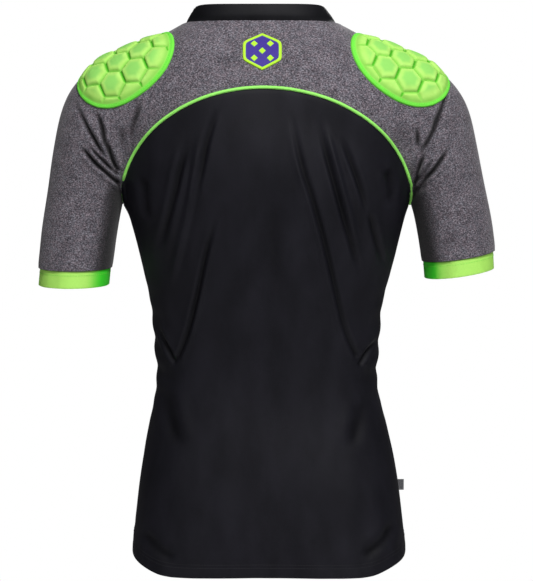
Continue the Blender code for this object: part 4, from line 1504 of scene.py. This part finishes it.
@dataclass
class Badge:
    """A sewn six-sided patch with a satin border and five small diamonds."""

    x: float = -5.0
    z: float = -30.5
    width: float = 46.0
    height: float = 49.0
    border: float = 3.4
    ground_top: float = 1.1
    thread_top: float = 1.7
    diamond_half: float = 4.2
    diamond_reach: float = 9.5
    grid: int = 110
    corner_power: float = 14.0
    feel: float = 4.0
    feelers: int = 40
    probe_y: float = -400.0
    walk_steps: int = 6
    edge_round: float = 1.2
    edge_top: float = 0.35
    bed: float = 0.15
    thread_soft: float = 0.4
    border_soft: float = 0.5

    def reach(self, angle: Array) -> Array:
        """The outline's reach in each direction, with soft corners, in millimetres."""
        wide = self.width / 2
        high = self.height / 2
        slant = np.array((high / 2, wide))
        slant = slant / np.linalg.norm(slant)
        far = slant @ np.array((wide, high / 2))
        c = np.abs(np.cos(angle))
        s = np.abs(np.sin(angle))
        power = self.corner_power
        return ((c / wide) ** power + ((c * slant[0] + s * slant[1]) / far) ** power) ** (-1 / power)

    def build(self, ground: Ground) -> None:
        """Makes the patch as one closed piece."""
        piece = flat_grid("neck_badge_patch", self.grid, self.grid)
        disc = disc_of(piece)
        flat = disc * self.reach(np.arctan2(disc[:, 1], disc[:, 0]))[:, None]
        probe = np.array((self.x, self.probe_y, self.z)) * MM
        start, _ = ground.hit(probe, np.array((0.0, 1.0, 0.0)))
        scatter = np.random.default_rng(4).normal(0, self.feel * MM, (self.feelers, 3))
        normal = unit(ground.settle(start + scatter)[1].mean(0))
        along = tangent(X_AXIS, normal)
        place = Place(start, along, np.cross(normal, along))
        put_spots(piece, ground.walk(place, flat * MM, self.walk_steps))
        base = spots_of(piece)
        normals = normals_of(piece)
        inside = (1 - np.hypot(disc[:, 0], disc[:, 1])) * self.width / 2
        thread = 1 - ease(self.border - self.border_soft, self.border + self.border_soft, inside)
        r = self.diamond_reach
        for cx, cy in ((0, 0), (-r, r), (r, r), (-r, -r), (r, -r)):
            apart = np.abs(flat[:, 0] - cx) + np.abs(flat[:, 1] - cy) - self.diamond_half
            thread = np.maximum(thread, 1 - ease(-self.thread_soft, self.thread_soft, apart))
        edge = np.clip(inside / self.edge_round, 0, 1)
        edge = np.sqrt(np.clip(1 - (1 - edge) ** 2, 0, 1))
        top = self.ground_top + (self.thread_top - self.ground_top) * thread
        top = top * (self.edge_top + (1 - self.edge_top) * edge)
        high = base + normals * top[:, None] * MM
        close_relief(piece, high, base + normals * self.bed * MM, {"thread": thread})
        self.piece = piece

    def dress(self) -> None:
        """Gives the patch its material."""
        dress(self.piece, PATCH.material(), "badge_weave", "neck_badge")


@dataclass
class Piping:
    """A cloth-covered cord sewn into the back arch seam."""

    radius: float = 1.9
    lift: float = 0.7
    tuck: float = 4.5
    step: float = 3.0
    first_passes: int = 24
    last_passes: int = 12
    armpit: tuple[float, float] = (-190.0, -160.0)
    hidden: tuple[float, float] = (-190.0, -180.0)
    lean: float = 2.0

    def build(self, line: Array, ground: Ground) -> None:
        """Makes the cord along the seam, out to the back near the armpits, with its left end tucked in."""
        line = even_line(line, self.step * MM)
        soften(line, self.first_passes)
        line, normals = ground.settle(line)
        low = 1 - ease(*self.armpit, line[:, 2] / MM)
        normals[:, 1] -= self.lean * low
        soften(line, self.last_passes)
        for _ in range(self.last_passes):
            normals[1:-1] = unit(normals[:-2] + 2 * normals[1:-1] + normals[2:])
        hidden = (line[:, 0] < 0) * (1 - ease(*self.hidden, line[:, 2] / MM))
        line = line + unit(normals) * (self.lift + low - self.tuck * hidden)[:, None] * MM
        curve = bpy.data.curves.new("back_piping", "CURVE")
        curve.dimensions = "3D"
        curve.bevel_depth = self.radius * MM
        curve.bevel_resolution = 4
        curve.use_fill_caps = True
        spline = curve.splines.new("POLY")
        spline.points.add(len(line) - 1)
        spline.points.foreach_set("co", np.c_[line, np.ones(len(line))].ravel())
        only(add_object("back_piping", curve))
        bpy.ops.object.convert(target="MESH")
        self.piece = bpy.context.object

    def dress(self) -> None:
        """Gives the cord its material."""
        dress(self.piece, CORD_LIME.material(), "lime_elastic", "piping")


@dataclass
class StitchRow:
    """A row of short stitches along a closed line."""

    name: str
    pitch: float = 3.4
    length: float = 2.5
    width: float = 0.55
    height: float = 0.4
    arch: float = 0.25

    def pattern(self) -> tuple[Array, list[tuple[int, ...]]]:
        """Points of one rounded stitch, from -0.5 to 0.5 each way, and its faces."""
        bpy.ops.object.select_all(action="DESELECT")
        bpy.ops.mesh.primitive_cube_add(size=1.0)
        block = bpy.context.object
        modify(block, "SUBSURF", levels=1, render_levels=1)
        points = spots_of(block)
        faces = [tuple(face.vertices) for face in block.data.polygons]
        bpy.data.objects.remove(block, do_unlink=True)
        return points / np.abs(points).max(0) / 2, faces

    def build(self, line: Array, normals: Array) -> Piece:
        """Makes the stitches.

        Args:
            line: the line's points on the cloth.
            normals: outward directions there.

        Returns:
            One piece with every stitch of the row.
        """
        shape, faces = self.pattern()
        ring = np.concatenate((line, line[:1]))
        run = run_of(ring)
        count = int(run[-1] / (self.pitch * MM))
        at = (np.arange(count) + 0.5) * run[-1] / count
        out = unit(read_along(at, run, np.concatenate((normals, normals[:1]))))
        along = unit(read_along(at + MM, run, ring) - read_along(at - MM, run, ring))
        across = unit(np.cross(out, along))
        local = shape * (np.array((self.length, self.width, self.height)) * MM)
        local[:, 2] += self.arch * self.height * MM * (1 - (2 * shape[:, 0]) ** 2)
        spots = read_along(at, run, ring)[:, None]
        for axis, way in enumerate((along, across, out)):
            spots = spots + local[None, :, axis, None] * way[:, None]
        every = [
            tuple(k * len(shape) + corner for corner in face) for k in range(count) for face in faces
        ]
        mesh = bpy.data.meshes.new(self.name)
        mesh.from_pydata(spots.reshape(-1, 3).tolist(), [], every)
        piece = add_object(self.name, mesh)
        turn_outward(piece)
        return piece


@dataclass
class SideLabel:
    """A small folded tape that stands out of the right side seam."""

    tape: float = 0.34
    root: float = 4.0
    shorter: float = 2.0
    taller: float = 4.0
    spread: float = 0.3
    buckle: float = 0.12
    buckle_turns: float = 6.0
    columns: int = 25
    rows: int = 8

    def build(self) -> None:
        """Makes the folded tape in the place of its solid."""
        low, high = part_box("side_label")
        low.x -= self.root * MM
        high.x -= self.shorter * MM
        high.z += self.taller * MM
        piece = flat_grid("side_label_tape", self.columns, self.rows)
        a, b = spots_of(piece)[:, :2].T
        bend = self.spread * MM
        quarter = math.pi / 2
        reach = high.x - low.x - bend
        run = a * (reach + bend * quarter)
        turn = np.clip(run / bend, -quarter, quarter)
        back = np.maximum(np.abs(run) - bend * quarter, 0)
        x = low.x + reach - back + bend * np.cos(turn)
        y = bend * np.sin(turn) + self.buckle * MM * np.sin(self.buckle_turns * b) * np.cos(turn)
        z = (low.z + high.z) / 2 + b * (high.z - low.z) / 2
        put_spots(piece, np.stack((x, y, z), axis=1))
        turn_outward(piece)
        modify(piece, "SOLIDIFY", thickness=self.tape * MM, offset=0.0, use_rim=True)
        self.piece = piece

    def dress(self) -> None:
        """Gives the tape its material."""
        dress(self.piece, LABEL.material(), "label_tape", "side_label")


@dataclass
class Stitching:
    """The rows of stitches on the hem, the cuffs and the pads."""

    hem_rise: float = 12.0
    hem_gap: float = 4.0
    lift: float = 0.1
    cuff_rise: float = 5.2
    cuff_slope: dict[Side, float] = field(default_factory=lambda: {Side.LEFT: 0.0, Side.RIGHT: 0.15})
    cuff_clear: float = 120.0
    cuff_points: int = 180

    def row(self, name: str, line: Array, ground: Ground, material: Material, slot: str) -> None:
        """One row on the cloth along a line."""
        spots, normals = ground.settle(line)
        piece = StitchRow(name).build(spots + normals * self.lift * MM, normals)
        dress(piece, material, slot)

    def cuff_line(self, side: Side, cuff: Piece, ground: Ground) -> Array:
        """A line round a cuff, near its upper edge."""
        middle = spots_of(cuff).mean(0)
        centre = np.array((middle[0], 0.0, middle[2] + self.cuff_rise * MM))
        spots = []
        for angle in np.linspace(0, 2 * math.pi, self.cuff_points, endpoint=False):
            slope = self.cuff_slope[side] * math.cos(angle)
            way = np.array((math.cos(angle), math.sin(angle), slope))
            spots.append(ground.hit(centre + way * self.cuff_clear * MM, -way)[0])
        return np.array(spots)

    def build(self, panels: Panels, bands: Bands, pads: Sequence[ShoulderPad]) -> None:
        """Makes every row."""
        black = BLACK_THREAD.material()
        lime = LIME_THREAD.material()
        for k in range(2):
            line = panels.hem_line(self.hem_rise + k * self.hem_gap)
            self.row(f"hem_stitches_{k + 1}", line, panels.ground, black, "black_jersey")
        for pad in pads:
            name = f"pad_{pad.side.word}_stitches"
            row = StitchRow(name, pitch=3.2, length=2.3, width=0.6, height=0.5)
            dress(row.build(pad.seam, pad.seam_normals), lime, "lime_foam")
        for side, cuff in bands.cuffs.items():
            ground = Ground([cuff])
            line = self.cuff_line(side, cuff, ground)
            self.row(f"cuff_{side.word}_stitches", line, ground, lime, "lime_elastic")


class Studio:
    """The camera, the lights and the pale floor."""

    target = (0.0, 0.0, -0.325)
    distance = 2.6
    elevation = math.radians(7.0)
    focal_pixels = 2105.3
    picture = (533, 581)
    floor_z = -1.45
    ambient = 0.07
    lights = (
        ("key_light", (0.5, -2.0, 2.1), 0.8, 98.0),
        ("fill_light", (1.7, -2.2, 1.0), 1.0, 24.0),
        ("side_light", (-1.5, -2.3, 0.9), 0.8, 14.0),
        ("front_light", (0.4, 2.9, 1.2), 1.4, 62.0),
    )

    def build(self) -> None:
        """Makes the stage."""
        scene = bpy.context.scene
        data = bpy.data.cameras.new("studio_camera")
        data.sensor_width = 36.0
        data.lens = 36.0 * self.focal_pixels / max(self.picture)
        data.clip_end = 100.0
        camera = add_object("studio_camera", data)
        back = Vector((0.0, -math.cos(self.elevation), math.sin(self.elevation)))
        camera.location = Vector(self.target) + back * self.distance
        camera.rotation_euler = (math.pi / 2 - self.elevation, 0.0, 0.0)
        scene.camera = camera
        scene.view_settings.view_transform = "Standard"
        scene.view_settings.look = "None"
        self.surround(scene)
        for name, spot, size, power in self.lights:
            self.light(name, spot, size, power)
        bpy.ops.object.select_all(action="DESELECT")
        bpy.ops.mesh.primitive_grid_add(
            x_subdivisions=8, y_subdivisions=8, size=3.6, location=(0.0, 0.0, self.floor_z)
        )
        floor = bpy.context.object
        floor.name = "studio_floor"
        floor.data.materials.append(FLOOR.material())

    def surround(self, scene: bpy.types.Scene) -> None:
        """A white room that lights the garment softly."""
        world = bpy.data.worlds.new("studio_world")
        world.use_nodes = True
        nodes = world.node_tree.nodes
        links = world.node_tree.links
        seen = nodes["Background"]
        lit = nodes.new("ShaderNodeBackground")
        for node, strength in ((seen, 1.0), (lit, self.ambient)):
            node.inputs["Color"].default_value = (1.0, 1.0, 1.0, 1.0)
            node.inputs["Strength"].default_value = strength
        path = nodes.new("ShaderNodeLightPath")
        mix = nodes.new("ShaderNodeMixShader")
        links.new(path.outputs["Is Camera Ray"], mix.inputs["Fac"])
        links.new(lit.outputs["Background"], mix.inputs[1])
        links.new(seen.outputs["Background"], mix.inputs[2])
        links.new(mix.outputs["Shader"], nodes["World Output"].inputs["Surface"])
        scene.world = world

    def light(self, name: str, spot: Triple, size: float, power: float) -> None:
        """A square soft light that faces the garment."""
        data = bpy.data.lights.new(name, "AREA")
        data.size = size
        data.energy = power
        lamp = add_object(name, data)
        lamp.location = spot
        lamp.rotation_euler = (Vector(self.target) - Vector(spot)).to_track_quat("-Z", "Y").to_euler()


def main() -> None:
    """Builds and dresses every piece."""
    logging.basicConfig(level=logging.INFO, format="%(name)s %(message)s")
    Studio().build()
    panels = Panels()
    panels.build()
    pads = [
        ShoulderPad(Side.LEFT, out=171.0, cell_shift=6.0),
        ShoulderPad(Side.RIGHT, out=162.0, cell_shift=-1.0),
    ]
    for pad in pads:
        pad.build(panels.smooth_ground)
    badge = Badge()
    badge.build(panels.smooth_ground)
    panels.crease()
    bands = Bands()
    bands.build()
    piping = Piping()
    piping.build(panels.arch_line(), panels.ground)
    label = SideLabel()
    label.build()
    stitching = Stitching()
    stitching.build(panels, bands, pads)
    panels.dress()
    bands.dress()
    foam = FOAM.material()
    for pad in pads:
        pad.dress(foam)
    badge.dress()
    piping.dress()
    label.dress()


if __name__ == "__main__":
    main()
